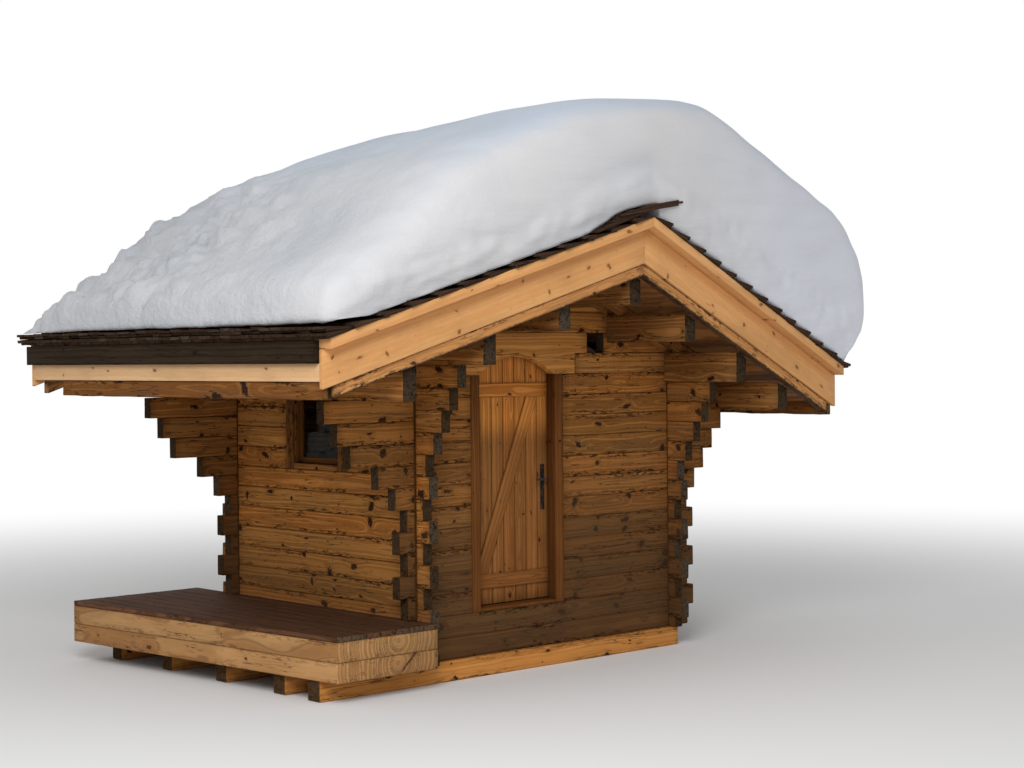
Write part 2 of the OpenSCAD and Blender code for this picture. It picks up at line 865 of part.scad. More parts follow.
module door_leaf() {
    color("sandybrown")
        upright(leaf_face, leaf_t)
            leaf_outline();
}

// Two rails with a brace that rises from the hinge side
module door_braces() {
    x0 = leaf_left + leaf_gap;
    x1 = leaf_right - leaf_gap;
    low = low_rail_z + rail_w + log_gap;
    high = top_rail_z - log_gap;
    color("peru")
        upright(leaf_front, rail_t) {
            translate([x0, top_rail_z])
                square([x1 - x0, rail_w]);
            translate([x0, low_rail_z])
                square([x1 - x0, rail_w]);
            polygon([
                [door_left + 30, low], [door_left + 155, low],
                [door_right - 100, high], [door_right - 225, high]
            ]);
        }
}

// A plate, a spindle and a lever on one face of the leaf
module handle_side(face, out) {
    x = door_right - 62;
    z = floor_z + handle_h;
    translate([x, out < 0 ? face - 5 : face, z - 250])
        cube([42, 5, 370]);
    translate([x + 21, out < 0 ? face - 50 : face, z])
        rotate([-90, 0, 0])
            cylinder(h = 50, r = 9, $fn = 24);
    translate([x - 85, out < 0 ? face - 58 : face + 46, z - 9])
        cube([115, 12, 18]);
}

module door_handle() {
    color("black") {
        handle_side(leaf_face, -1);
        handle_side(leaf_back, 1);
    }
}

module door_hinges() {
    color("dimgray")
        for (z = hinge_levels)
            difference() {
                union() {
                    translate([hinge_x, hinge_y, z])
                        cylinder(h = eye_h, r = eye_r, $fn = 32);
                    translate([hinge_x, leaf_back, z])
                        cube([eye_r, hinge_y - leaf_back, eye_h]);
                    translate([hinge_x, leaf_back, z])
                        cube([520, 7, eye_h]);
                }
                translate([hinge_x, hinge_y, z - eps])
                    cylinder(h = eye_h + 2 * eps, r = pin_r + 0.6, $fn = 32);
            }
}

// Two posts with a head and a sill between them
module bars_round(x, depth, y0, y1, z0, z1, side_w, end_h) {
    for (y = [y0, y1 - side_w])
        translate([x, y, z0])
            cube([depth, side_w, z1 - z0]);
    for (z = [z0, z1 - end_h])
        translate([x, y0 + side_w + log_gap, z])
            cube([depth, y1 - y0 - 2 * side_w - 2 * log_gap, end_h]);
}

module window_frame() {
    color("peru")
        bars_round(left_x - 12, window_frame_d, window_y0 + log_gap, window_y1 - log_gap,
            window_z0 + log_gap, window_z1 - log_gap, window_post_w, window_end_h);
}

module window_sash() {
    color("ivory")
        bars_round(left_x + 40, sash_t, window_y0 + window_post_w + 2 * log_gap, window_y1 - window_post_w - 2 * log_gap,
            window_z0 + window_end_h + 2 * log_gap, window_z1 - window_end_h - 2 * log_gap, sash_w, sash_w);
}

module window_glass() {
    y0 = window_y0 + window_post_w + sash_w + 3 * log_gap;
    y1 = window_y1 - window_post_w - sash_w - 3 * log_gap;
    z0 = window_z0 + window_end_h + sash_w + 3 * log_gap;
    z1 = window_z1 - window_end_h - sash_w - 3 * log_gap;
    color("lightsteelblue")
        translate([left_x + 40 + (sash_t - glass_t) / 2, y0, z0])
            cube([glass_t, y1 - y0, z1 - z0]);
}

cross_joists();
floor_bearers();
floor_boards();
deck_beams();
deck_boards();
front_wall_left();
front_wall_right();
front_lintel();
front_gable();
rear_wall();
rear_gable();
left_wall();
right_wall();
ridge_purlin();
left_upper_purlin();
left_wall_purlin();
left_outer_purlin();
right_upper_purlin();
right_wall_purlin();
right_outer_purlin();
rafters();
soffits();
upper_rafters();
roof_deck();
left_shingles();
right_shingles();
ridge_comb();
front_bargeboard_left();
front_bargeboard_right();
rear_bargeboards();
verge_strips();
left_fascia();
left_eave_board();
right_fascia();
eave_beams();
roof_snow();
door_frame();
hinge_pins();
door_leaf();
door_braces();
door_handle();
door_hinges();
window_frame();
window_sash();
window_glass();
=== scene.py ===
# %% [markdown]
# # A small alpine log cabin
# The cabin is a hut of hewn logs that cross at the corners, under a deep gable roof of old shingles with
# a thick blanket of snow. The measured model gives every size. This script takes those solids as its
# frame and gives them worn edges, split boards, laid shingles and real finishes.
# The frame comes first, because everything else is placed by it.
# %% Load the frame
import math

import bpy
import numpy as np
from mathutils import Matrix, Vector, noise


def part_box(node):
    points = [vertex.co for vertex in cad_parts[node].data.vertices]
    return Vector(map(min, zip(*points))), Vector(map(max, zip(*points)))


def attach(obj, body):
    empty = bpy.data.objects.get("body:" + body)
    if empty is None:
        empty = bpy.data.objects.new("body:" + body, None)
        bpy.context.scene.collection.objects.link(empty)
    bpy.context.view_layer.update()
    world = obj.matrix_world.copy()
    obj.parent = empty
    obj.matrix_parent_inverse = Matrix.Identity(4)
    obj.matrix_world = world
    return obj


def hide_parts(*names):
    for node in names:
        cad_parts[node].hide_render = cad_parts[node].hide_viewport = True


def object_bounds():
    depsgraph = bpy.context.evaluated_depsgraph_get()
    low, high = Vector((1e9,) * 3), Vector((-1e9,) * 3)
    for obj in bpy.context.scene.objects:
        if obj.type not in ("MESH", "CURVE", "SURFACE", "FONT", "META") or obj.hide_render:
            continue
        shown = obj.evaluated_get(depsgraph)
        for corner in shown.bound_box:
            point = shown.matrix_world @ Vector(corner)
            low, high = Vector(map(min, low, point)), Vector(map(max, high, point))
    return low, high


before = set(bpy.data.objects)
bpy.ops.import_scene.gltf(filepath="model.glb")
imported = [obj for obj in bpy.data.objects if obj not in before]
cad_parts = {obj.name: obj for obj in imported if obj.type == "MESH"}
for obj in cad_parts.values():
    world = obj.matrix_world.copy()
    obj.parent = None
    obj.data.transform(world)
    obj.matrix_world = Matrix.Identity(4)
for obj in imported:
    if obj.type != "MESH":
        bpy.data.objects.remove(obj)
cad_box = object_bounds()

scene = bpy.context.scene
noise.seed_set(7)  # without this, vector noise starts from the clock and differs from run to run
print(len(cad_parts), "nodes in a box of", [round(v, 3) for corner in cad_box for v in corner])

# %% [markdown]
# ## Tools for picking and cutting
# A wooden cabin is sawn, split and chopped, so most pieces here start as the measured solid and are cut
# further. These helpers do what a hand does in Blender: pick one object, copy a solid and join its loose
# triangles into whole faces, and cut it square across at even steps, so that it has corners to move.
# %% Helpers for picking and cutting


def pick(ob):
    """Deselect everything, then select one object and make it active."""
    if bpy.context.object and bpy.context.object.mode != "OBJECT":
        bpy.ops.object.mode_set(mode="OBJECT")
    bpy.ops.object.select_all(action="DESELECT")
    ob.select_set(True)
    bpy.context.view_layer.objects.active = ob


def edit_all(ob):
    pick(ob)
    bpy.ops.object.mode_set(mode="EDIT")
    bpy.ops.mesh.select_all(action="SELECT")


def leave_edit():
    bpy.ops.object.mode_set(mode="OBJECT")


def read_rows(items, key, width=3, kind=np.float32):
    """One row of numbers for each item, such as the place of each vertex."""
    flat = np.empty(len(items) * width, kind)
    items.foreach_get(key, flat)
    return flat.reshape(-1, width).astype(float if kind == np.float32 else int)


def points_of(mesh):
    return read_rows(mesh.vertices, "co")


def move_points(mesh, place):
    mesh.vertices.foreach_set("co", place.astype(np.float32).ravel())
    mesh.update()


def read_vector(mesh, name):
    return read_rows(mesh.attributes[name].data, "vector")


def write_vector(mesh, name, values):
    layer = mesh.attributes.get(name) or mesh.attributes.new(name, "FLOAT_VECTOR", "POINT")
    layer.data.foreach_set("vector", np.asarray(values, np.float32).ravel())


def loose_parts(mesh):
    """The number of the loose part that each vertex belongs to."""
    first, second = read_rows(mesh.edges, "vertices", 2, np.int32).T
    label = np.arange(len(mesh.vertices))
    while True:
        low = np.minimum(label[first], label[second])
        new = label.copy()
        np.minimum.at(new, first, low)
        np.minimum.at(new, second, low)
        new = new[new]
        if (new == label).all():
            return np.unique(label, return_inverse=True)[1]
        label = new


def note_direction(ob, along=None):
    """Write the direction of its longest edge, or the one given, on each loose part."""
    mesh = ob.data
    place, part = points_of(mesh), loose_parts(mesh)
    first, second = read_rows(mesh.edges, "vertices", 2, np.int32).T
    run = place[second] - place[first]
    size = np.linalg.norm(run, axis=1)
    longest = np.zeros((part.max() + 1, 3))
    for edge in np.argsort(size):
        longest[part[first[edge]]] = run[edge] / max(size[edge], 1e-9)
    if along is not None:
        longest[:] = Vector(along).normalized()
    write_vector(mesh, "along", longest[part])


def take(name, *nodes, along=None):
    """Copy CAD nodes into one new piece and merge their loose triangles into whole faces."""
    bpy.ops.object.select_all(action="DESELECT")
    for node in nodes:
        piece = bpy.data.objects.new(name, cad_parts[node].data.copy())
        scene.collection.objects.link(piece)
        piece.select_set(True)
    bpy.context.view_layer.objects.active = piece
    if len(nodes) > 1:
        bpy.ops.object.join()
    piece = bpy.context.view_layer.objects.active
    piece.name = piece.data.name = name
    piece.data.materials.clear()
    if piece.data.has_custom_normals:
        bpy.ops.mesh.customdata_custom_splitnormals_clear()
    edit_all(piece)
    bpy.ops.mesh.remove_doubles(threshold=0.00002)
    bpy.ops.mesh.dissolve_limited(angle_limit=math.radians(1))
    leave_edit()
    note_direction(piece, along)
    return piece


def keep_parts(ob, wanted):
    """Delete the loose parts whose middle isn't wanted."""
    place, part = points_of(ob.data), loose_parts(ob.data)
    gone = [number for number in range(part.max() + 1) if not wanted(place[part == number].mean(0))]
    edit_all(ob)
    bpy.ops.mesh.select_all(action="DESELECT")
    leave_edit()
    ob.data.vertices.foreach_set("select", np.isin(part, gone))
    bpy.ops.object.mode_set(mode="EDIT")
    bpy.ops.mesh.delete(type="VERT")
    leave_edit()


def axis_vector(axis, length=1.0):
    return [length if i == axis else 0.0 for i in range(3)]


def cut_across(ob, axis, places):
    """Cut a piece with planes square to an axis, as with a saw that leaves both halves."""
    edit_all(ob)
    for place in places:
        bpy.ops.mesh.select_all(action="SELECT")
        bpy.ops.mesh.bisect(plane_co=axis_vector(axis, place), plane_no=axis_vector(axis))
    leave_edit()


def steps(low, high, step):
    """Even places between two ends, none closer than half a step to an end."""
    count = max(int(round((high - low) / step)), 1)
    return [low + (high - low) * i / count for i in range(1, count)]


def span(ob, axis):
    place = points_of(ob.data)[:, axis]
    return place.min(), place.max()


# %% [markdown]
# ## Grain that follows each piece
# In a real log the grain runs along its length, and no two logs share it. A texture on the whole cabin
# would run straight through the joints and give the trick away. So each loose part carries three small
# records on its vertices: where a point lies along and across that part, how big the part is, and the
# same place moved to a random spot, which is where the material reads its grain.
# %% Helpers for grain and wear
grain_length = 60  # metres of grain that the spots are drawn from
wander_size = 0.35  # metres from one bend of a hewn face to the next


def map_grain(ob, seed, pith=0.05):
    """Store on each loose part its own place, half size and grain position, along the grain first."""
    mesh = ob.data
    place, part = points_of(mesh), loose_parts(mesh)
    along = read_vector(mesh, "along")
    draw = np.random.default_rng(seed)
    local, half, grain = np.zeros_like(place), np.zeros_like(place), np.zeros_like(place)
    order = np.argsort(part, kind="stable")
    for mine in np.split(order, np.cumsum(np.bincount(part))[:-1]):
        run = Vector(along[mine[np.argmax(np.abs(along[mine]).sum(1))]]).normalized()
        up = Vector((0, 0, 1)) if abs(run.z) < 0.9 else Vector((1, 0, 0))
        up = (up - run * up.dot(run)).normalized()
        own = place[mine] @ np.array([run, up.cross(run), up]).T
        low, high = own.min(0), own.max(0)
        local[mine] = own - (low + high) / 2
        half[mine] = (high - low) / 2
        grain[mine] = local[mine] + np.array([
            draw.uniform(0, grain_length), draw.choice([-1, 1]) * draw.uniform(0.4, 1) * pith,
            draw.uniform(-0.8, 0.8) * pith])
    write_vector(mesh, "local", local)
    write_vector(mesh, "half", half)
    write_vector(mesh, "grain", grain)


def weather(ob, depth, edge, seed=0):
    """Move every corner by smooth noise: depth over the faces, edge up and down along the arrises."""
    mesh = ob.data
    place = points_of(mesh)
    grain, local, half, along = (read_vector(mesh, key) for key in ("grain", "local", "half", "along"))
    for i in range(len(place)):
        x, y, z = grain[i] / wander_size
        at = Vector((x, y * 2.5, z * 2.5 + seed * 7.3))
        push = noise.noise_vector(at) * 0.7 + noise.noise_vector(at * 3.7) * 0.3
        run = Vector(along[i])
        push -= run * (push.dot(run) * 0.8)
        near = abs(local[i][2]) > half[i][2] * 0.97
        place[i] += np.array(push) * (edge if near else depth)
    move_points(mesh, place)


def round_arrises(ob, width, angle=35):
    """Bevel the sharp edges, as wear does."""
    pick(ob)
    bevel = ob.modifiers.new("worn edges", "BEVEL")
    bevel.width, bevel.segments, bevel.limit_method = width, 2, "ANGLE"
    bevel.angle_limit = math.radians(angle)
    bevel.use_clamp_overlap = True
    bpy.ops.object.modifier_apply(modifier=bevel.name)


def smooth(ob, angle=40):
    pick(ob)
    bpy.ops.object.shade_smooth_by_angle(angle=math.radians(angle))


def put(ob, material, body="cabin", replaces=()):
    """Give a finished piece its material and body, and hide the CAD nodes that it stands for."""
    ob.data.materials.clear()
    ob.data.materials.append(material)
    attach(ob, body)
    if replaces:
        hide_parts(*replaces)
    print(ob.name, len(ob.data.vertices), "vertices")


def timber(name, nodes, material, seed, bevel, cuts=None, depth=0.0, edge=0.0, wander=None, pith=0.05,
           body="cabin", along=None, angle=35, wanted=None):
    """A sawn or hewn piece from CAD nodes: worn, cut across at (axis, step), grained and bent a little."""
    ob = take(name, *nodes, along=along)
    if wanted:
        keep_parts(ob, wanted)
    round_arrises(ob, bevel, angle)
    if cuts:
        axis, step = cuts
        cut_across(ob, axis, steps(*span(ob, axis), step))
    map_grain(ob, seed, pith)
    if depth:
        weather(ob, depth, edge, seed if wander is None else wander)
    smooth(ob)
    put(ob, material, body, nodes)
    return ob


# %% [markdown]
# ## The camera
# The photograph was taken from the front left, a little above the door, with a mild telephoto lens. The
# place and turn were found by lining up the cabin's corners and purlin ends with the picture.
# %% Camera
focal_px, frame_px, sensor_mm = 1866.4, 1024, 36
heading, tilt, roll = math.radians(42.85), math.radians(-0.84), math.radians(-0.50)
camera_place = Vector((-10.6179, -12.1884, 2.515))

ahead = Vector((math.sin(heading) * math.cos(tilt), math.cos(heading) * math.cos(tilt), math.sin(tilt)))
level = Vector((math.cos(heading), -math.sin(heading), 0))
above = level.cross(ahead)
sideways = level * math.cos(roll) + above * math.sin(roll)
upwards = above * math.cos(roll) - level * math.sin(roll)
camera_data = bpy.data.cameras.new("photo_camera")
camera_data.sensor_width = sensor_mm
camera_data.lens = focal_px / frame_px * sensor_mm
camera_data.clip_end = 400
camera = bpy.data.objects.new("photo_camera", camera_data)
camera.matrix_world = Matrix((sideways, upwards, -ahead)).transposed().to_4x4()
camera.location = camera_place
scene.collection.objects.link(camera)
scene.camera = camera
print("lens", round(camera_data.lens, 1), "mm")

# %% [markdown]
# ## Node helpers
# Every finish is a tree of nodes. Typing out each node and link hides the idea of the material, so a
# small class adds a node with its settings and inputs in one line, and has words for what comes often.
# %% Node helper


class Tree:
    """Adds nodes to a tree: an input may be a number, a colour or another node's output."""

    def __init__(self, tree):
        self.tree = tree
        self.count = 0

    def place(self, kind, inputs=None, **settings):
        """A new node, in rows of eight, with its settings made and its inputs filled or linked."""
        node = self.tree.nodes.new("ShaderNode" + kind)
        node.location = (self.count % 8 * 220, -(self.count // 8) * 320)
        self.count += 1
        for key, value in settings.items():
            setattr(node, key, value)
        for key, value in (inputs or {}).items():
            if isinstance(value, bpy.types.NodeSocket):
                self.tree.links.new(value, node.inputs[key])
            else:
                node.inputs[key].default_value = value
        return node

    def add(self, kind, inputs=None, out=0, **settings):
        return self.place(kind, inputs, **settings).outputs[out]

    def math(self, operation, a, b=0.0, clamp=False):
        return self.add("Math", {0: a, 1: b}, operation=operation, use_clamp=clamp)

    def times(self, a, b):
        return self.math("MULTIPLY", a, b)

    def plus(self, a, b, clamp=False):
        return self.math("ADD", a, b, clamp)

    def minus(self, a, b):
        return self.math("SUBTRACT", a, b)

    def swing(self, value, width):
        """A noise made to swing to both sides of nothing."""
        return self.times(self.minus(value, 0.5), width)

    def length(self, a, b):
        return self.math("SQRT", self.plus(self.times(a, a), self.times(b, b)))

    def vector(self, operation, a, b=(0, 0, 0)):
        return self.add("VectorMath", {0: a, 1: b}, operation=operation)

    def split(self, vector):
        return list(self.place("SeparateXYZ", {0: vector}).outputs)

    def rise(self, value, low, high, to_low=0.0, to_high=1.0):
        """A smooth step from one value to another."""
        return self.add("MapRange", {"Value": value, "From Min": low, "From Max": high, "To Min": to_low,
                                     "To Max": to_high}, interpolation_type="SMOOTHSTEP")

    def line(self, value, middle, wide, narrow):
        """A soft line where a value crosses a middle."""
        return self.rise(self.math("ABSOLUTE", self.minus(value, middle)), wide, narrow)

    def mix(self, factor, a, b, blend="MIX"):
        return self.place("Mix", {0: factor, 6: a, 7: b}, data_type="RGBA", blend_type=blend,
                          clamp_factor=True).outputs[2]

    def noise(self, vector, scale, detail=2.0, roughness=0.5, out=0):
        return self.add("TexNoise", {"Vector": vector, "Scale": scale, "Detail": detail,
                                     "Roughness": roughness}, out=out)

    def stretched(self, vector, stretch, detail, roughness=0.5, out=0):
        """A noise on a stretched vector, with the stretch as its scale each way."""
        return self.noise(self.vector("MULTIPLY", vector, stretch), 1.0, detail, roughness, out)

    def group(self, group, inputs):
        return self.place("Group", inputs, node_tree=group).outputs

    def surface(self, **inputs):
        """The shader and the output, with the spaces of socket names written as lines."""
        shader = self.add("BsdfPrincipled", {key.replace("_", " "): value for key, value in inputs.items()})
        self.place("OutputMaterial", {"Surface": shader})

    def seen(self):
        """Where a ray from the camera, a mirror or a pane meets the surface."""
        rays = self.place("LightPath").outputs
        return self.math("MAXIMUM", rays["Is Camera Ray"],
                         self.math("MAXIMUM", rays["Is Glossy Ray"], rays["Is Transmission Ray"]))


def rgb(red, green, blue):
    return (red, green, blue, 1.0)


def toned(colour, strength):
    return rgb(*[c * strength for c in colour])


def start_material(name):
    """An empty material, and the tools to fill it."""
    material = bpy.data.materials.new(name)
    material.use_nodes = True
    material.node_tree.nodes.clear()
    return material, Tree(material.node_tree)


def start_group(name, vectors, numbers, outputs):
    """A node group with named sockets, and the tools to fill it."""
    group = bpy.data.node_groups.new(name, "ShaderNodeTree")
    for label in vectors:
        group.interface.new_socket(label, in_out="INPUT", socket_type="NodeSocketVector")
    for label, value in numbers.items():
        socket = group.interface.new_socket(label, in_out="INPUT", socket_type="NodeSocketFloat")
        socket.default_value = value
    for label in outputs:
        group.interface.new_socket(label, in_out="OUTPUT", socket_type="NodeSocketFloat")
    inside = Tree(group)
    given = group.nodes.new("NodeGroupInput").outputs
    result = group.nodes.new("NodeGroupOutput").inputs
    return group, inside, given, result


def end_group(inside, result, values):
    for label, value in values.items():
        inside.tree.links.new(value, result[label])
    print(inside.tree.name, len(inside.tree.nodes), "nodes")


# %% [markdown]
# ## Wood grain
# A log grows in rings round its pith, and a sawn face cuts those rings at a slant, which draws the long
# arches on a board. The group builds that: it measures how far a point lies from the pith, lets a slow
# noise bend the distance, and reads bands and thin dark lines from it. Knots are the cells of a stretched
# pattern, each with its own size and slant, and they push the rings aside. Drying cracks are the contour
# lines of a noise that is stretched along the grain.
# %% Wood grain group
wood_grain, g, given, result = start_group(
    "Wood grain", ["Vector"],
    {"Band scale": 55.0, "Knots per metre": 2.0, "Knot size": 0.014, "Cracks": 0.5, "Waviness": 0.03},
    ["Bands", "Line", "Fibres", "Knot", "Knot ring", "Crack", "Patches", "Radial"])
knots_across = 8.0  # cells of knots on a metre across the grain

bend = g.vector("SUBTRACT", g.stretched(given["Vector"], (1.6, 5, 5), 2.0, out=1), (0.5, 0.5, 0.5))
bend = g.vector("MULTIPLY", bend, (0, 1, 1))
bend = g.add("VectorMath", {0: bend, "Scale": given["Waviness"]}, operation="SCALE")
bent = g.vector("ADD", given["Vector"], bend)
run, across, upward = g.split(bent)
distance = g.length(across, upward)

cells = g.add("CombineXYZ", {0: g.times(run, given["Knots per metre"]),
                             1: g.times(g.plus(across, upward), knots_across), 2: 0.0})
cell = g.place("TexVoronoi", {"Vector": cells, "Scale": 1.0, "Randomness": 0.85}, voronoi_dimensions="2D")
offset = g.split(g.vector("SUBTRACT", cells, cell.outputs["Position"]))
chance = g.place("SeparateColor", {0: cell.outputs["Color"]}).outputs
stretch = g.add("MapRange", {"Value": chance[1], "To Min": 0.6, "To Max": 1.25})
knot_x = g.times(g.math("DIVIDE", offset[0], given["Knots per metre"]), stretch)
knot_y = g.math("DIVIDE", g.math("DIVIDE", offset[1], knots_across), stretch)
knot_x = g.plus(knot_x, g.times(knot_y, g.swing(chance[2], 1.2)))
knot_radius = g.times(given["Knot size"], g.rise(g.math("POWER", chance[0], 3.0), 0.0, 1.0, 0.22, 1.9))
knot_radius = g.times(knot_radius, g.rise(chance[0], 0.22, 0.30))
ragged = g.minus(g.noise(given["Vector"], 75.0, 3.0, 0.6), 0.5)
from_knot = g.plus(g.length(knot_x, knot_y), g.times(g.times(ragged, knot_radius), 2.4))
knot = g.rise(g.minus(knot_radius, from_knot), -0.0012, 0.0030)
halo = g.math("DIVIDE", from_knot, g.math("MAXIMUM", knot_radius, 0.0008))
halo = g.math("DIVIDE", 1.0, g.plus(1.0, g.times(halo, halo)))

pushed = g.plus(distance, g.times(halo, g.times(knot_radius, 1.6)))
drift = g.times(g.stretched(bent, (0.8, 4, 4), 2.0), 0.050)
bands = g.add("TexNoise", {"W": g.times(g.plus(pushed, drift), given["Band scale"]), "Scale": 1.0,
                           "Detail": 2.0, "Roughness": 0.55}, noise_dimensions="1D")
where = g.plus(g.stretched(bent, (1.1, 6, 6), 1.0), given["Cracks"])
crack = g.times(g.line(g.stretched(bent, (1.1, 24, 24), 3.0), 0.5, 0.012, 0.002),
                g.rise(g.minus(where, 1.0), -0.02, 0.08))
spoke = g.noise(g.add("CombineXYZ", {0: g.times(g.math("ARCTAN2", upward, across), 3.2),
                                     1: g.times(distance, 9.0), 2: g.times(run, 0.2)}), 1.0, 2.0)
end_group(g, result, {
    "Bands": bands, "Line": g.line(bands, 0.53, 0.055, 0.008),
    "Knot": knot, "Knot ring": halo, "Crack": crack,
    "Fibres": g.stretched(bent, (7, 240, 240), 3.0, 0.6), "Radial": g.line(spoke, 0.5, 0.030, 0.006),
    "Patches": g.stretched(given["Vector"], (1.3, 4.5, 4.5), 3.0, 0.6)})

# %% [markdown]
# ## Edges and ends
# Wear, dirt and weather gather at the edges and ends of a board, and the seams also get painted shade. The
# stored place and half size give the distance to each side of the part, and where two of those distances
# are small there is an arris. The end of a log is where the distance along the grain is nothing. Rot marks
# lie in streaks by the seams.
# %% Edges and ends group
board_edges, e, given, result = start_group(
    "Edges and ends", ["Place", "Half size"], {"Width": 0.012},
    ["Edge", "End", "Seam", "Near end", "Part", "Tone", "Seam marks"])
gap = e.split(e.vector("SUBTRACT", given["Half size"], e.vector("ABSOLUTE", given["Place"])))
roughly = e.times(e.minus(e.noise(given["Place"], 35.0, 2.0), 0.5), given["Width"])
near = [e.rise(e.plus(side, roughly), given["Width"], 0.0) for side in gap]
edge = e.math("MAXIMUM", e.math("MAXIMUM", e.times(near[0], near[1]), e.times(near[0], near[2])),
              e.times(near[1], near[2]))


def per_part(stretch):
    """The place on a part, moved by the part's own size, so that no two parts look alike."""
    return e.vector("ADD", given["Place"], e.vector("MULTIPLY", given["Half size"], stretch))


streaks = e.stretched(per_part((40, 70, 90)), (16, 60, 60), 3.0, 0.65)
where = e.stretched(per_part((90, 30, 50)), (1.6, 9, 9), 1.0)
marks = e.times(e.rise(streaks, 0.49, 0.58), e.rise(gap[2], 0.052, 0.012))
end_group(e, result, {
    "Edge": edge, "End": e.rise(gap[0], 0.0032, 0.0018), "Seam": near[2],
    "Near end": e.rise(e.plus(gap[0], e.times(roughly, 3.0)), 0.09, 0.0),
    "Part": e.add("TexWhiteNoise", {"Vector": given["Half size"]}, noise_dimensions="3D"),
    "Tone": e.add("TexWhiteNoise", {"Vector": e.vector("MULTIPLY", given["Half size"], (1.7, 2.3, 3.1))},
                  noise_dimensions="3D"),
    "Seam marks": e.times(marks, e.rise(where, 0.47, 0.56))})

# %% [markdown]
# ## Wood finishes
# All the timber shares those two groups and differs in colour, knots, cracks and wear: honey brown old
# logs with dark ends, pale new bargeboards, warm pine for the door, a red brown deck and nearly black
# shingles. One function mixes a finish from its colours. The wall logs also grow darker towards the foot,
# partly from damp and partly as painted shade, and get a painted shadow line where two walls cross. The
# top of the door is painted lighter, as painted light. Seams are darkened by dirt and painted shade, and
# the shingles get a painted highlight on their arrises.
# %% Wood finishes
# The colour of a wall's darker foot, partly damp and partly painted shade.
damp_and_shade_colour, worn_colour = (0.055, 0.032, 0.017), (0.115, 0.080, 0.050)
# The gain of the painted light at the top of the door.
pale_end_colour, painted_top_light_gain = (0.115, 0.088, 0.062), (2.25, 2.15, 1.70)
damp_and_shade_foot = 0.45  # height in metres under which a wall is fully darkened, partly by damp and partly as painted shade
wall_faces = ([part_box("left_wall")[0][0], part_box("right_wall")[1][0]],
              [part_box("front_wall_right")[0][1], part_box("rear_wall")[1][1]])


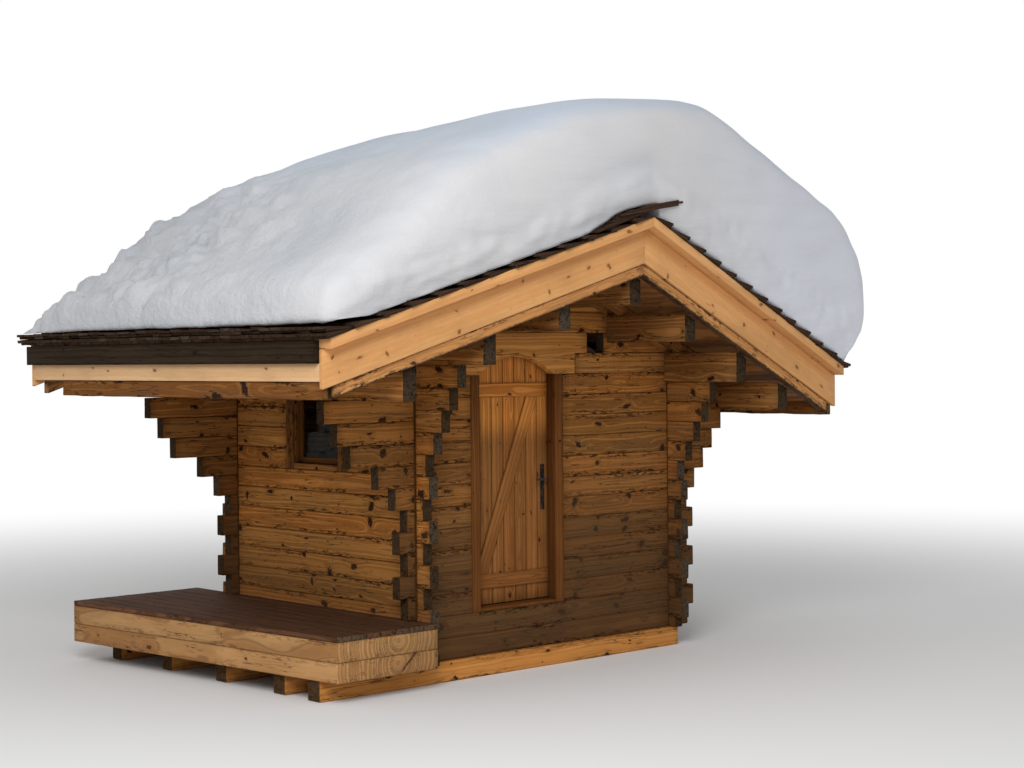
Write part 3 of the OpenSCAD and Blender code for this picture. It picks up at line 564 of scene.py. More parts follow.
def wood(name, light, dark, knot_colour, end_colour, grain, seam_dirt_and_shade=0.5, tint=0.25, hue=0.08, roughness=0.75,
         edge_highlight=0.0, crack_depth=1.0, lines=0.5, follows=True, turn=(0, 0, 0), bump=0.5, grey=0.0,
         damp_and_shade=0.0, dirt_shade_colour=None, gloss=0.18, marks=0.0, wear=0.012, painted_corner_shade=False, damp_and_shade_top=1.25,
         painted_top_light=None):
    """A wood finish. With follows it reads the grain stored on the piece, and otherwise the object.

    grain holds knots in a metre, knot size, share of cracks and rings in a metre.
    """
    material, t = start_material(name)
    if follows:
        vector = t.add("Attribute", attribute_name="grain", out=1)
        edges = t.group(board_edges, {"Place": t.add("Attribute", attribute_name="local", out=1),
                                      "Half size": t.add("Attribute", attribute_name="half", out=1),
                                      "Width": wear})
    else:
        vector = t.add("Mapping", {"Vector": t.add("TexCoord", out=3), "Location": (3.3, 0.11, 0.07),
                                   "Rotation": turn})
        edges = None
    looks = t.group(wood_grain, {
        "Vector": vector, **dict(zip(("Knots per metre", "Knot size", "Cracks", "Band scale"), grain))})
    banded = t.rise(looks["Bands"], 0.34, 0.68)

    def cover(colour, mask, strength, top, low=None, high=None):
        """Lay a colour over another by a mask, read between two values or as it is."""
        factor = t.times(mask, strength) if low is None else t.rise(mask, low, high, 0.0, strength)
        return t.mix(factor, colour, top)

    colour = t.mix(banded, rgb(*light), rgb(*dark))
    colour = cover(colour, looks["Fibres"], 0.28, toned(dark, 0.55), 0.45, 0.75)
    colour = cover(colour, looks["Patches"], 0.40, toned(dark, 0.66), 0.42, 0.70)
    colour = cover(colour, looks["Line"], lines, toned(dark, 0.45))
    if grey:
        colour = cover(colour, t.stretched(vector, (1.1, 9, 9), 3.0), grey, rgb(*worn_colour), 0.45, 0.75)
    if edges:
        shade = t.add("MapRange", {"Value": edges["Part"], "To Min": 1.0 - tint, "To Max": 1.0 + tint})
        redder = t.swing(edges["Tone"], 2 * hue)
        shades = [t.times(shade, t.plus(1.0, t.times(redder, k))) for k in (1.0, -0.2, -1.3)]
        colour = t.mix(1.0, colour, t.add("CombineColor", dict(enumerate(shades))), "MULTIPLY")
    colour = cover(colour, looks["Knot ring"], 0.55, toned(dark, 0.5))
    colour = cover(colour, looks["Knot"], 0.93, rgb(*knot_colour))
    colour = cover(colour, looks["Crack"], 0.80, toned(knot_colour, 0.35))

    here = t.split(t.add("TexCoord", out=3)) if damp_and_shade or painted_top_light or painted_corner_shade else None
    # Darker towards the foot: partly damp, partly painted shade.
    if damp_and_shade:
        low = t.plus(here[2], t.swing(looks["Patches"], 0.9))
        colour = cover(colour, low, damp_and_shade, rgb(*damp_and_shade_colour), damp_and_shade_top, damp_and_shade_foot)
    # Painted light: the piece is made lighter above a given height.
    if painted_top_light:
        colour = t.mix(t.rise(here[2], *painted_top_light), colour, rgb(*painted_top_light_gain), "MULTIPLY")
    # A painted shadow line where two walls cross.
    if painted_corner_shade:
        facing = t.split(t.add("TexCoord", out=1))
        for axis, faces in enumerate(wall_faces):
            square = t.rise(t.math("ABSOLUTE", facing[1 - axis]), 0.6, 0.8)
            for face in faces:
                corner_shadow_line = t.times(t.line(here[axis], face, 0.022, 0.005), square)
                colour = t.mix(corner_shadow_line, colour, toned(dark, 0.22))

    rough = t.plus(roughness, t.swing(looks["Fibres"], 0.25))
    height = t.minus(t.times(looks["Fibres"], 0.35), t.times(looks["Crack"], crack_depth))
    height = t.minus(t.minus(height, t.times(banded, 0.45)), t.times(looks["Knot"], 0.30))
    shine = gloss
    if edges:
        # Seams, and more weakly the ends, are darkened: partly dirt, partly painted shade.
        dirt_shade_rgb = rgb(*dirt_shade_colour) if dirt_shade_colour else toned(dark, 0.35)
        colour = cover(colour, edges["Seam"], seam_dirt_and_shade, dirt_shade_rgb)
        colour = cover(colour, edges["Near end"], seam_dirt_and_shade * 0.5, dirt_shade_rgb)
        if marks:
            colour = cover(colour, edges["Seam marks"], marks, toned(knot_colour, 0.8))
        # A painted highlight along the arrises.
        if edge_highlight:
            colour = cover(colour, edges["Edge"], edge_highlight, toned(light, 1.5))
        end = cover(rgb(*end_colour), edges["Tone"], 0.75, rgb(*pale_end_colour), 0.45, 0.95)
        end = cover(end, looks["Bands"], 0.45, toned(end_colour, 0.4), 0.38, 0.62)
        end = cover(end, looks["Radial"], 0.9, toned(end_colour, 0.12))
        colour = t.mix(edges["End"], colour, end)
        height = t.minus(height, t.times(t.times(edges["End"], looks["Radial"]), 1.6))
        shine = t.rise(edges["End"], 0.0, 1.0, gloss, 0.02)
    t.surface(Base_Color=colour, Roughness=rough, Specular_IOR_Level=shine,
              Normal=t.add("Bump", {"Height": height, "Strength": bump, "Distance": 0.004}))
    return material


black_knot, log_end = (0.018, 0.008, 0.004), (0.060, 0.034, 0.016)
hewn = dict(seam_dirt_and_shade=0.72, roughness=0.82, crack_depth=1.5, lines=0.45, marks=0.90, wear=0.008, painted_corner_shade=True,
            gloss=0.06)
planed = dict(tint=0.04, hue=0.03, roughness=0.6, crack_depth=0.6)
joinery = dict(roughness=0.7, bump=0.3, lines=0.35)
hidden = dict(follows=False, grain=(1.5, 0.013, 0.5, 30.0))

old_log = wood("old hewn log", (0.57, 0.240, 0.058), (0.350, 0.131, 0.028), black_knot, log_end,
               (3.0, 0.0190, 0.60, 62.0), tint=0.26, hue=0.07, grey=0.28, damp_and_shade=0.84, damp_and_shade_top=2.7, **hewn)
# A lighter copy of the old log finish, as painted sunlight on the left wall.
painted_sunlit_log = wood("log with painted sunlight", (0.66, 0.282, 0.070), (0.42, 0.160, 0.035), black_knot, log_end,
                 (3.0, 0.0190, 0.60, 62.0), tint=0.22, hue=0.06, grey=0.22, damp_and_shade=0.45, damp_and_shade_top=1.4, **hewn)
dark_log = wood("old purlin", (0.42, 0.180, 0.047), (0.235, 0.088, 0.021), black_knot, (0.055, 0.034, 0.018),
                (2.2, 0.017, 0.6, 50.0), tint=0.15, grey=0.30, crack_depth=1.5, lines=0.45, marks=0.7,
                gloss=0.06)
eave_log = wood("old eave beam", (0.30, 0.122, 0.030), (0.175, 0.064, 0.015), (0.012, 0.006, 0.003),
                (0.040, 0.024, 0.013), (2.6, 0.024, 0.6, 40.0), seam_dirt_and_shade=0.6, tint=0.15, grey=0.30,
                crack_depth=1.5, lines=0.35, marks=1.0, gloss=0.08)
pale_log = wood("lintel plank", (0.73, 0.310, 0.074), (0.52, 0.192, 0.040), (0.020, 0.009, 0.004),
                (0.090, 0.050, 0.022), (3.0, 0.013, 0.5, 40.0), seam_dirt_and_shade=0.45, tint=0.05, grey=0.12, lines=0.35,
                marks=0.5, gloss=0.12)
new_board = wood("new larch board", (0.80, 0.420, 0.165), (0.73, 0.355, 0.125), (0.26, 0.085, 0.026),
                 (0.60, 0.30, 0.11), (4.6, 0.0105, 0.28, 34.0), seam_dirt_and_shade=0.10, bump=0.2, lines=0.07, **planed)
fascia_board = wood("pale fascia board", (0.83, 0.520, 0.270), (0.74, 0.430, 0.200), (0.24, 0.085, 0.030),
                    (0.60, 0.30, 0.11), (4.2, 0.010, 0.35, 34.0), seam_dirt_and_shade=0.12, bump=0.25, lines=0.10, **planed)
bark_board = wood("board with a bark edge", (0.72, 0.350, 0.120), (0.56, 0.245, 0.075), (0.030, 0.013, 0.006),
                  (0.40, 0.19, 0.08), (3.4, 0.014, 0.45, 45.0), seam_dirt_and_shade=0.95, tint=0.05, hue=0.03, bump=0.4,
                  dirt_shade_colour=(0.050, 0.024, 0.010), marks=0.95, wear=0.020)
# The top of the door is painted lighter, as painted light.
door_pine = wood("door pine", (0.360, 0.148, 0.041), (0.248, 0.090, 0.022), (0.040, 0.014, 0.005),
                 (0.22, 0.10, 0.035), (3.6, 0.0105, 0.30, 70.0), tint=0.13, hue=0.06, gloss=0.08,
                 painted_top_light=(1.80, 2.05), **joinery)
post_pine = wood("door post", (0.212, 0.080, 0.020), (0.140, 0.048, 0.011), (0.030, 0.011, 0.004),
                 (0.15, 0.065, 0.02), (2.6, 0.009, 0.30, 70.0), seam_dirt_and_shade=0.45, tint=0.10, hue=0.04, gloss=0.06,
                 **joinery)
deck_board = wood("deck board", (0.160, 0.076, 0.040), (0.096, 0.042, 0.021), (0.03, 0.013, 0.008),
                  (0.14, 0.07, 0.035), (2.4, 0.012, 0.5, 60.0), tint=0.15, grey=0.15, gloss=0.05)
deck_beam = wood("deck beam", (0.55, 0.290, 0.112), (0.39, 0.178, 0.058), (0.06, 0.024, 0.010),
                 (0.34, 0.18, 0.07), (2.6, 0.014, 0.5, 45.0), seam_dirt_and_shade=0.35, tint=0.12, grey=0.12, marks=0.5)
black_board = wood("weathered eave board", (0.046, 0.028, 0.014), (0.022, 0.013, 0.007),
                   (0.008, 0.005, 0.003), (0.030, 0.020, 0.012), (1.5, 0.012, 0.62, 60.0), seam_dirt_and_shade=0.4,
                   tint=0.2, grey=0.10, crack_depth=1.5, gloss=0.06)
# The shingles get a painted highlight on their arrises.
shingle_wood = wood("old shingle", (0.078, 0.040, 0.024), (0.028, 0.015, 0.009), (0.010, 0.006, 0.004),
                    (0.050, 0.027, 0.016), (0.5, 0.004, 0.6, 160.0), seam_dirt_and_shade=0.2, tint=0.5, hue=0.06, grey=0.10,
                    edge_highlight=0.20, gloss=0.06)
hidden_colours = (0.34, 0.152, 0.046), (0.20, 0.080, 0.022), (0.03, 0.012, 0.006), (0.2, 0.1, 0.04)
inner_wood = wood("roof timber", *hidden_colours, **hidden)
inner_wood_y = wood("timber along the depth", *hidden_colours, turn=(0, 0, math.pi / 2), **hidden)
print("finishes:", ", ".join(m.name for m in bpy.data.materials if m.use_nodes and m.users == 0))

# %% [markdown]
# ## The hewn log walls
# The walls are logs squared with an axe, notched over each other and stepped out at the corners like
# corbels. They could be boxes with a bumpy picture on them, but the seams would be ruler straight. Each
# wall is taken from its solid, cut across every few centimetres, and its corners are moved a few
# millimetres, so every joint wanders as it does on the real walls.
# %% Log walls
course, first_course, side_start = 0.170, 0.160, 0.245
cross_walls = ("front_wall_left", "front_wall_right", "front_gable", "rear_wall", "rear_gable")
side_walls = ("left_wall", "right_wall")
for number, node in enumerate(cross_walls + side_walls):
    axis, start = (1, side_start) if node in side_walls else (0, first_course)
    logs = take(node + "_logs", node)
    cut_across(logs, axis, steps(*span(logs, axis), 0.09))
    bottom, top = span(logs, 2)
    levels = [start + course * (i + share) for i in range(-1, 18) for share in (0.14, 0.5, 0.86)]
    cut_across(logs, 2, [z for z in levels if bottom + 0.004 < z < top - 0.004])
    map_grain(logs, seed=20 + number)
    weather(logs, depth=0.005, edge=0.003, seed=number)
    smooth(logs, 60)
    # The left wall gets the copy with painted sunlight.
    put(logs, painted_sunlit_log if node == "left_wall" else old_log, replaces=[node])

# %% [markdown]
# ## Purlins and the arched lintel
# The purlins are the long roof beams whose dark ends show under the gable. The lintel over the door is
# one thick plank with an arch sawn into it. Both keep their solid's shape, with worn arrises.
# %% Purlins and lintel
purlins = ["ridge_purlin"] + [f"{side}_{place}_purlin" for side in ("left", "right")
                              for place in ("upper", "wall", "outer")]
for number, node in enumerate(purlins):
    timber(node + "_beam", [node], dark_log, 40 + number, 0.008, (1, 0.14), 0.005, 0.006,
           wander=number)
timber("arched_lintel", ["front_lintel"], pale_log, 60, 0.006, (0, 0.1), 0.002, 0.003, wander=0,
       along=(1, 0, 0), angle=30)

# %% [markdown]
# ## Boards of the roof's edge
# New pale boards close the gable: deep bargeboards, a proud strip over them and a fascia at each eave.
# They are planed, so they only get small bevels. Under the bargeboards runs the edge rafter, a slab sawn
# with its bark edge, which is left rough, and the rafters further in are old, and their dark purlin finish
# is painted shade. The old eave beam and the black board over the left fascia have weathered for years.
# In the picture the strips stand further out in front, the left eave beam ends short of the rear and the
# black board runs past it.
# %% Boards of the roof's edge
gable_front, prow = 2.275, 0.09  # the gable edge's reach at the ridge, and how far it falls back in a metre
strip_forward, eave_board_longer, beam_end = 0.080, 0.055, 1.50
edge_rafter_reach = 1.8  # rafters further than this from the cabin's middle are the edge rafters

for number, (name, nodes) in enumerate((
        ("bargeboard_left", ["front_bargeboard_left"]), ("bargeboard_right", ["front_bargeboard_right"]),
        ("bargeboards_rear", ["rear_bargeboards"]), ("verge_boards", ["verge_strips"]))):
    verge = timber(name, nodes, new_board, 70 + number, 0.004, (0, 0.2), 0.001, 0.001)
for number, side in enumerate(("left", "right")):
    timber("fascia_" + side, [side + "_fascia"], fascia_board, 74 + number, 0.003, (1, 0.2),
           0.001, 0.001)
eave = timber("eave_board_left", ["left_eave_board"], black_board, 76, 0.004, (1, 0.12),
              0.003, 0.004)
beams = timber("old_eave_beams", ["eave_beams"], eave_log, 77, 0.008, (1, 0.07), 0.006, 0.012)
timber("live_edge_rafters", ["rafters"], bark_board, 78, 0.005, (0, 0.05), 0.003, 0.010,
       wanted=lambda middle: abs(middle[1]) > edge_rafter_reach)
# The inner rafters take the dark purlin finish as painted shade.
timber("inner_rafters", ["rafters"], dark_log, 78, 0.005, (0, 0.25), 0.003, 0.010,
       wanted=lambda middle: abs(middle[1]) <= edge_rafter_reach)

place = points_of(verge.data)
outer = (place[:, 1] < 0) & (-place[:, 1] > gable_front - prow * np.abs(place[:, 0]) + 0.004)
place[outer, 1] -= strip_forward
move_points(verge.data, place)
place = points_of(eave.data)
place[place[:, 1] > place[:, 1].max() - 0.03, 1] += eave_board_longer
move_points(eave.data, place)
place = points_of(beams.data)
past_end = (place[:, 0] < 0) & (place[:, 1] > beam_end)
place[past_end, 1] = beam_end + (place[past_end, 1] - beam_end) * 0.04
move_points(beams.data, place)
print("moved:", int(outer.sum()), "corners of the verge boards,", int(past_end.sum()), "of the eave beam")

# %% [markdown]
# ## The boarded door
# The door is made of upright boards with small gaps, held by two rails and a brace. The leaf's solid has
# the arched outline, so it is sawn into boards there: each board is a copy of the leaf with everything
# left and right of it cut away, which keeps the arch. Deck boards are sawn from the deck in the same way.
# %% Sawing a solid into boards


def saw_boards(name, node, count, gap, bevel, along):
    """Boards of even width cut from a copy of a node from left to right, with a gap at each saw cut."""
    node_low, node_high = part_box(node)
    edges = list(np.linspace(node_low.x - 0.001, node_high.x + 0.001, count + 1))
    boards = []
    for low, high in zip(edges[:-1], edges[1:]):
        board = take(name, node, along=along)
        edit_all(board)
        for place, away in ((low + gap / 2, True), (high - gap / 2, False)):
            bpy.ops.mesh.select_all(action="SELECT")
            bpy.ops.mesh.bisect(plane_co=axis_vector(0, place), plane_no=axis_vector(0), use_fill=True,
                                clear_inner=away, clear_outer=not away)
        leave_edit()
        boards.append(board)
    pick(boards[0])
    for board in boards[1:]:
        board.select_set(True)
    bpy.ops.object.join()
    whole = bpy.context.view_layer.objects.active
    whole.name = whole.data.name = name
    round_arrises(whole, bevel)
    note_direction(whole, along)
    return whole


# %% Door boards, rails and brace
leaf_low, leaf_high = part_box("door_leaf")
door_boards = saw_boards("door_boards", "door_leaf", 7, 0.003, 0.003, (0, 0, 1))
cut_across(door_boards, 2, steps(leaf_low.z, leaf_high.z, 0.25))
map_grain(door_boards, seed=80, pith=0.07)
smooth(door_boards)
put(door_boards, door_pine, body="door", replaces=["door_leaf"])
timber("door_rails_and_brace", ["door_braces"], door_pine, 81, 0.003, pith=0.07, body="door")
timber("door_posts", ["door_frame"], post_pine, 82, 0.004, pith=0.07)

# %% [markdown]
# ## The deck
# The side deck is boarded along the cabin over a ring of two heavy beams. The beams meet at the corners,
# and each run has its own grain. Both stand on joists that lie across under the whole cabin.
# %% Deck boards, beams and joists
deck_low, deck_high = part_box("deck_boards")
planks = saw_boards("deck_planks", "deck_boards", 9, 0.007, 0.004, (0, 1, 0))
cut_across(planks, 1, steps(deck_low.y, deck_high.y, 0.3))
map_grain(planks, seed=90)
weather(planks, depth=0.002, edge=0.002)
smooth(planks)
put(planks, deck_board, replaces=["deck_boards"])
timber("deck_ring_beams", ["deck_beams"], deck_beam, 91, 0.008)
timber("deck_joists", ["cross_joists"], pale_log, 92, 0.010)

# %% [markdown]
# ## The window
# A small sash in a heavy frame. Frame and sash keep their solids with small bevels, and the glass is
# clear, with a slight green tint.
# %% Window
timber("window_casing", ["window_frame"], dark_log, 95, 0.005, pith=0.07)
timber("window_sash_bars", ["window_sash"], post_pine, 96, 0.003, pith=0.07)

# %% [markdown]
# ## Shingles
# The roof is laid with split shingles in thirteen courses, two layers deep, which show as a ragged dark
# edge under the snow. At the left eave the first course has four layers. One shingle is modelled: a thin
# wedge with a slightly bowed butt. It is copied along every course, each copy a little shifted, turned
# and thickened. The boards of the comb are equally thick at both ends.
# %% One shingle
bpy.ops.object.select_all(action="DESELECT")
bpy.ops.mesh.primitive_cube_add(size=1, location=(0, 0, 0))
shingle = bpy.context.object
shingle.name = "shingle_pattern"
edit_all(shingle)
bpy.ops.mesh.subdivide(number_cuts=1)
leave_edit()
wedge = points_of(shingle.data)
faces = [tuple(p.vertices) for p in shingle.data.polygons]
wedge[:, 0] += 0.5
thin = 1 - 0.8 * wedge[:, 0]
wedge[:, 2] = np.where(wedge[:, 2] > 0.1, thin, np.where(wedge[:, 2] < -0.1, 0, thin / 2))
wedge[:, 0] -= np.where(wedge[:, 0] < 0.1, 0.03 * (1 - (2 * wedge[:, 1]) ** 2), 0)
even = wedge / np.stack([np.ones_like(thin), np.ones_like(thin), thin], 1)
bpy.data.objects.remove(shingle)
print("one shingle:", len(faces), "faces")

# %% [markdown]
# Each slope has its own list of places. The copies go into one mesh per slope, because thousands of
# separate objects would slow Blender down and nothing needs to move them.
# %% Lay the shingles
half_slope_left, half_slope_right = 0.31722, 0.43685
ridge_z, deck_top, cover_top = 3.1358, 0.450, 0.5
courses, reach_past, side_gap = 13, 0.063, 0.004
shingle_layers = ((0.018, 0.001, 0.024, -0.02), (0.0, 0.026, 0.023, -0.115),
                  (0.012, 0.051, 0.022, -0.19), (0.0, 0.076, 0.024, -0.25))
draw = np.random.default_rng(7)


def copies(name, places, pattern):
    """One mesh with a copy of a board at each place: origin, run, side, up, length, width, thickness."""
    every, grain, local, half = [], [], [], []
    for origin, run, side, up, *sizes in places:
        size = np.array(sizes)
        every.append(origin + (pattern * size) @ np.array([run, side, up]))
        own = (pattern - [0.5, 0, 0.5]) * size
        local.append(own)
        half.append(np.tile(size / 2 + draw.uniform(0, 1e-4, 3), (len(pattern), 1)))
        grain.append(own + [draw.uniform(0, grain_length), draw.uniform(0.02, 0.06),
                            draw.uniform(-0.03, 0.03)])
    mesh = bpy.data.meshes.new(name)
    count = len(pattern)
    mesh.from_pydata(np.vstack(every).tolist(), [],
                     [tuple(v + i * count for v in f) for i in range(len(places)) for f in faces])
    ob = bpy.data.objects.new(name, mesh)
    scene.collection.objects.link(ob)
    for label, values in (("grain", grain), ("local", local), ("half", half)):
        write_vector(mesh, label, np.vstack(values))
    edit_all(ob)
    bpy.ops.mesh.normals_make_consistent(inside=False)
    leave_edit()
    return ob


def slope_places(side, slope, reach):
    """Places of the shingles over one slope, from the eave up to the ridge."""
    tilt = math.atan(slope)
    run = np.array([-side * math.cos(tilt), 0, math.sin(tilt)])
    up = np.array([side * math.sin(tilt), 0, math.cos(tilt)])
    end = reach + reach_past
    found = []
    for n in range(courses):
        butt = end - n * end / courses
        verge = gable_front - prow * butt
        rear = verge + 0.048 + 0.024 * butt
        y = -verge - 0.122 + draw.uniform(-0.008, 0.008)
        while y < rear - 0.03:
            width = min(draw.uniform(0.09, 0.19), rear - y)
            if rear - y - width < 0.06:
                width = rear - y
            layers = shingle_layers if n == 0 and side < 0 else shingle_layers[:2]
            for layer, (back, low, thick, lean) in enumerate(layers):
                x = butt - (draw.uniform(0.0, 0.026 if layer > 1 else 0.012) + back)
                thick = thick * draw.uniform(0.65 if layer > 1 else 0.85, 1.0)
                length = min(0.33, (x - 0.01) / math.cos(tilt))
                spin = draw.uniform(-0.012, 0.012)
                base = np.array([side * x, y + width / 2, ridge_z + deck_top - x * slope])
                turned = run + up * lean + np.array([0, spin, 0])
                turned /= np.linalg.norm(turned)
                across = np.array([-side * spin, 1, 0.0])
                across -= turned * (across @ turned)
                across /= np.linalg.norm(across)
                top = np.cross(turned, across)
                top *= np.sign(top @ up)
                found.append((base + up * low, turned, across, top, length, width - side_gap, thick))
            y += width
    return found


left_cover = copies("left_roof_shingles", slope_places(-1, half_slope_left, 2.930), wedge)
put(left_cover, shingle_wood, replaces=["left_shingles"])
right_cover = copies("right_roof_shingles", slope_places(1, half_slope_right, 2.700), wedge)
put(right_cover, shingle_wood, replaces=["right_shingles"])

# %% [markdown]
# The left slope's top courses run on over the ridge as a comb, which keeps the rain out of the joint.
# Its tip shows over the gable. Three layers lie nearly flat. Under them four more follow the slope, each
# a little flatter and shorter than the one below, so that the comb rises from the shingles in steps.
# %% Ridge comb
comb_slope, comb_front, comb_rear = 0.17, -gable_front - 0.115, gable_front + 0.045
lower_tip = -0.05
comb_places = []


def lay_comb(tip, y, z, slope, lift, length, width, thick):
    """One board of the comb, from its tip down to the left."""
    tilt = math.atan(slope)
    run = np.array([-math.cos(tilt), 0, -math.sin(tilt)])
    up = np.array([-math.sin(tilt), 0, math.cos(tilt)])
    base = np.array([tip, y + width / 2, ridge_z + z])
    comb_places.append((base + up * lift, run, np.array([0, 1.0, 0]), up, length, width - side_gap, thick))


for layer, (tip, long) in enumerate(((0.275, 0.66), (0.325, 0.60), (0.300, 0.40))):
    y = comb_front
    while y < comb_rear - 0.03:
        width = min(draw.uniform(0.10, 0.2), comb_rear - y)
        x = tip - draw.uniform(0, 0.03)
        lay_comb(x, y, deck_top + 0.0504 + x * comb_slope, comb_slope, 0.0005 + 0.0145 * layer, long,
                 width, 0.015)
        y += width
for left_end, over, slope in ((-0.62, -0.003, 0.317), (-0.54, 0.011, 0.300), (-0.46, 0.026, 0.270),
                              (-0.40, 0.041, 0.235)):
    y = comb_front + 0.005 + draw.uniform(0, 0.012)
    long = lower_tip - left_end
    while y < gable_front + 0.01:
        width = min(draw.uniform(0.10, 0.2), gable_front + 0.040 - y)
        lay_comb(lower_tip, y, cover_top + left_end * half_slope_left + over + long * slope, slope, 0,
                 long / math.cos(math.atan(slope)) + draw.uniform(-0.012, 0.012), width, 0.016)
        y += width
comb = copies("ridge_comb_shingles", comb_places, even)
put(comb, shingle_wood, replaces=["ridge_comb"])

# %% [markdown]
# ## The snow
# Nearly a metre of snow lies on the roof. It is smooth and heavy, bulges past the right eave, thins out
# over the left one, and its gable edges are rounded. A sculpted block would miss the measured outline, so
# a flat grid is mapped onto a section that is drawn through a few measured points. The section is squeezed
# towards the gables by a rounded curve, and in front the foot is drawn back under the bulge, so that the
# ends of the shingles show.
# %% Snow section
snow_line = [(-2.97, 2.745), (-3.01, 2.80), (-2.90, 3.06), (-2.40, 3.39), (-1.80, 3.90), (-1.20, 4.175),
             (-0.60, 4.40), (0.0, 4.49), (0.45, 4.51), (0.9, 4.475), (1.4, 4.285), (1.9, 4.10), (2.4, 3.92),
             (2.75, 3.775), (2.95, 3.60), (3.05, 3.40), (3.065, 3.18), (2.99, 2.90), (2.86, 2.62),
             (2.79, 2.42)]
comb_line = [(-0.72, -0.300), (-0.62, -0.184), (-0.54, -0.144), (-0.46, -0.104), (-0.40, -0.058),
             (-0.29, -0.014), (-0.11, 0.029), (0.10, 0.063)]
columns = 230
front_reach, rear_reach, foot_right = 2.40, 2.315, 2.79


def ease(value, low, high):
    share = np.clip((value - low) / (high - low), 0, 1)
    return share * share * (3 - 2 * share)


def roof_height(x):
    """Height of the shingles' top over the ground."""
    return ridge_z + cover_top - np.abs(x) * np.where(x < 0, half_slope_left, half_slope_right)


def seat_height(x):
    """Height of what the snow rests on: the shingles, the thick left eave or the comb over the ridge."""
    bare = roof_height(x) + 0.001 + 0.052 * np.clip((-x - 2.62) / 0.25, 0, 1)
    comb_top = ridge_z + cover_top + np.interp(x, *zip(*comb_line), left=-9)
    return np.where(x < comb_line[-1][0], np.maximum(comb_top, bare), bare)


def soft_roof(x):
    """The roof's height with its ridge rounded off, as the snow over it takes it up."""
    slope = half_slope_left + (half_slope_right - half_slope_left) * ease(x, -0.4, 0.4)
    return ridge_z + cover_top - np.sqrt(x * x + 0.35 ** 2) * slope


def through(points, count):
    """A smooth line through control points, sampled evenly."""
    joined = np.vstack([2 * points[0] - points[1], points, 2 * points[-1] - points[-2]])
    line = []
    for i in range(1, len(joined) - 2):
        a, b, c, d = joined[i - 1:i + 3]
        for s in np.linspace(0, 1, 24, endpoint=False):
            line.append(0.5 * (2 * b + (c - a) * s + (2 * a - 5 * b + 4 * c - d) * s ** 2
                               + (3 * b - a - 3 * c + d) * s ** 3))
    line = np.array(line + [points[-1]])
    gone = np.concatenate([[0], np.cumsum(np.linalg.norm(np.diff(line, axis=0), axis=1))])
    return np.stack([np.interp(np.linspace(0, gone[-1], count), gone, line[:, k]) for k in range(2)], 1)


section = through(np.array(snow_line), columns)
print("snow section:", columns, "points, top at", round(float(section[:, 1].max()), 2), "m")

# %% Snow mesh


def gable_rows(sharp, blunt, count, middle):
    """Rows from a gable edge to the middle: share of the height left there, and place towards the edge."""
    share = np.linspace(0, 0.975, count)
    place = (1 - share ** blunt) ** (1 / sharp)
    inner = np.linspace(place[-1], 0, middle + 1)[1:]
    return (np.concatenate([share, (1 - inner ** sharp) ** (1 / blunt)]), np.concatenate([place, inner]))


front_share, front_place = gable_rows(13.96, 4.98, 40, 34)
rear_share, rear_place = gable_rows(3.47, 2.04, 34, 26)
shares = np.concatenate([front_share, rear_share[-2::-1]])
places = np.concatenate([-front_place, rear_place[-2::-1]])
rows = len(shares)
bpy.ops.object.select_all(action="DESELECT")
bpy.ops.mesh.primitive_grid_add(x_subdivisions=columns - 1, y_subdivisions=rows - 1, size=2)
snow = bpy.context.object
snow.name = snow.data.name = "snow_blanket"
flat = points_of(snow.data)
column = np.rint((flat[:, 0] + 1) / 2 * (columns - 1)).astype(int)
row = np.rint((flat[:, 1] + 1) / 2 * (rows - 1)).astype(int)
share, away = shares[row], places[row]
in_front = away < 0

snow_x, snow_z = section[column].T
past = np.maximum(snow_x - foot_right, 0) * (1 - np.clip(share / 0.5, 0, 1) ** 0.7)
snow_x = snow_x - past
from_middle = np.abs(snow_x) - 0.5
snow_x = snow_x * np.where(in_front & (from_middle > 0), 1 - 0.08 * (1 - share) * from_middle / 2.5, 1.0)
reach = np.where(in_front, front_reach, rear_reach) - prow * (np.sqrt(snow_x ** 2 + 0.45 ** 2) - 0.25)
snow_y = away * reach
seat = seat_height(snow_x)
base = seat + (soft_roof(snow_x) - seat) * np.clip(share / 0.28, 0, 1) ** 1.5
snow_top = np.maximum(base + np.maximum(snow_z - base, 0) * share * (1 - 0.04 * snow_y), seat)
drawn_back = 0.045 * np.clip(1 - (snow_top - roof_height(snow_x)) / 0.42, 0, 1) ** 1.6
upper = np.stack([snow_x, snow_y + np.where(in_front, drawn_back, 0), snow_top], 1)
move_points(snow.data, upper)
print("snow:", len(upper), "points on top")

# %% [markdown]
# The grid is an open sheet. Strips from the front rim to the rear rim close it on the shingles, and one
# face closes each side. Then noise in several sizes makes drifts and, towards the left and the rear,
# broken lumps where snow has slid off. Over the ridge the wind has cut a soft fold in the front, and
# under that fold the snow is a little lumpy.
# %% Close and roughen the snow
order = np.zeros((rows, columns), int)
order[row, column] = np.arange(len(upper))
top_faces = [tuple(p.vertices) for p in snow.data.polygons]
strips = [(order[0, i + 1], order[0, i], order[-1, i], order[-1, i + 1]) for i in range(columns - 1)]
sides = [tuple(order[:, 0]), tuple(order[::-1, -1])]
closed = bpy.data.meshes.new("snow_blanket")
closed.from_pydata(upper.tolist(), [], top_faces + [tuple(int(v) for v in f) for f in strips + sides])
snow.data = closed
edit_all(snow)
bpy.ops.mesh.normals_make_consistent(inside=False)
leave_edit()

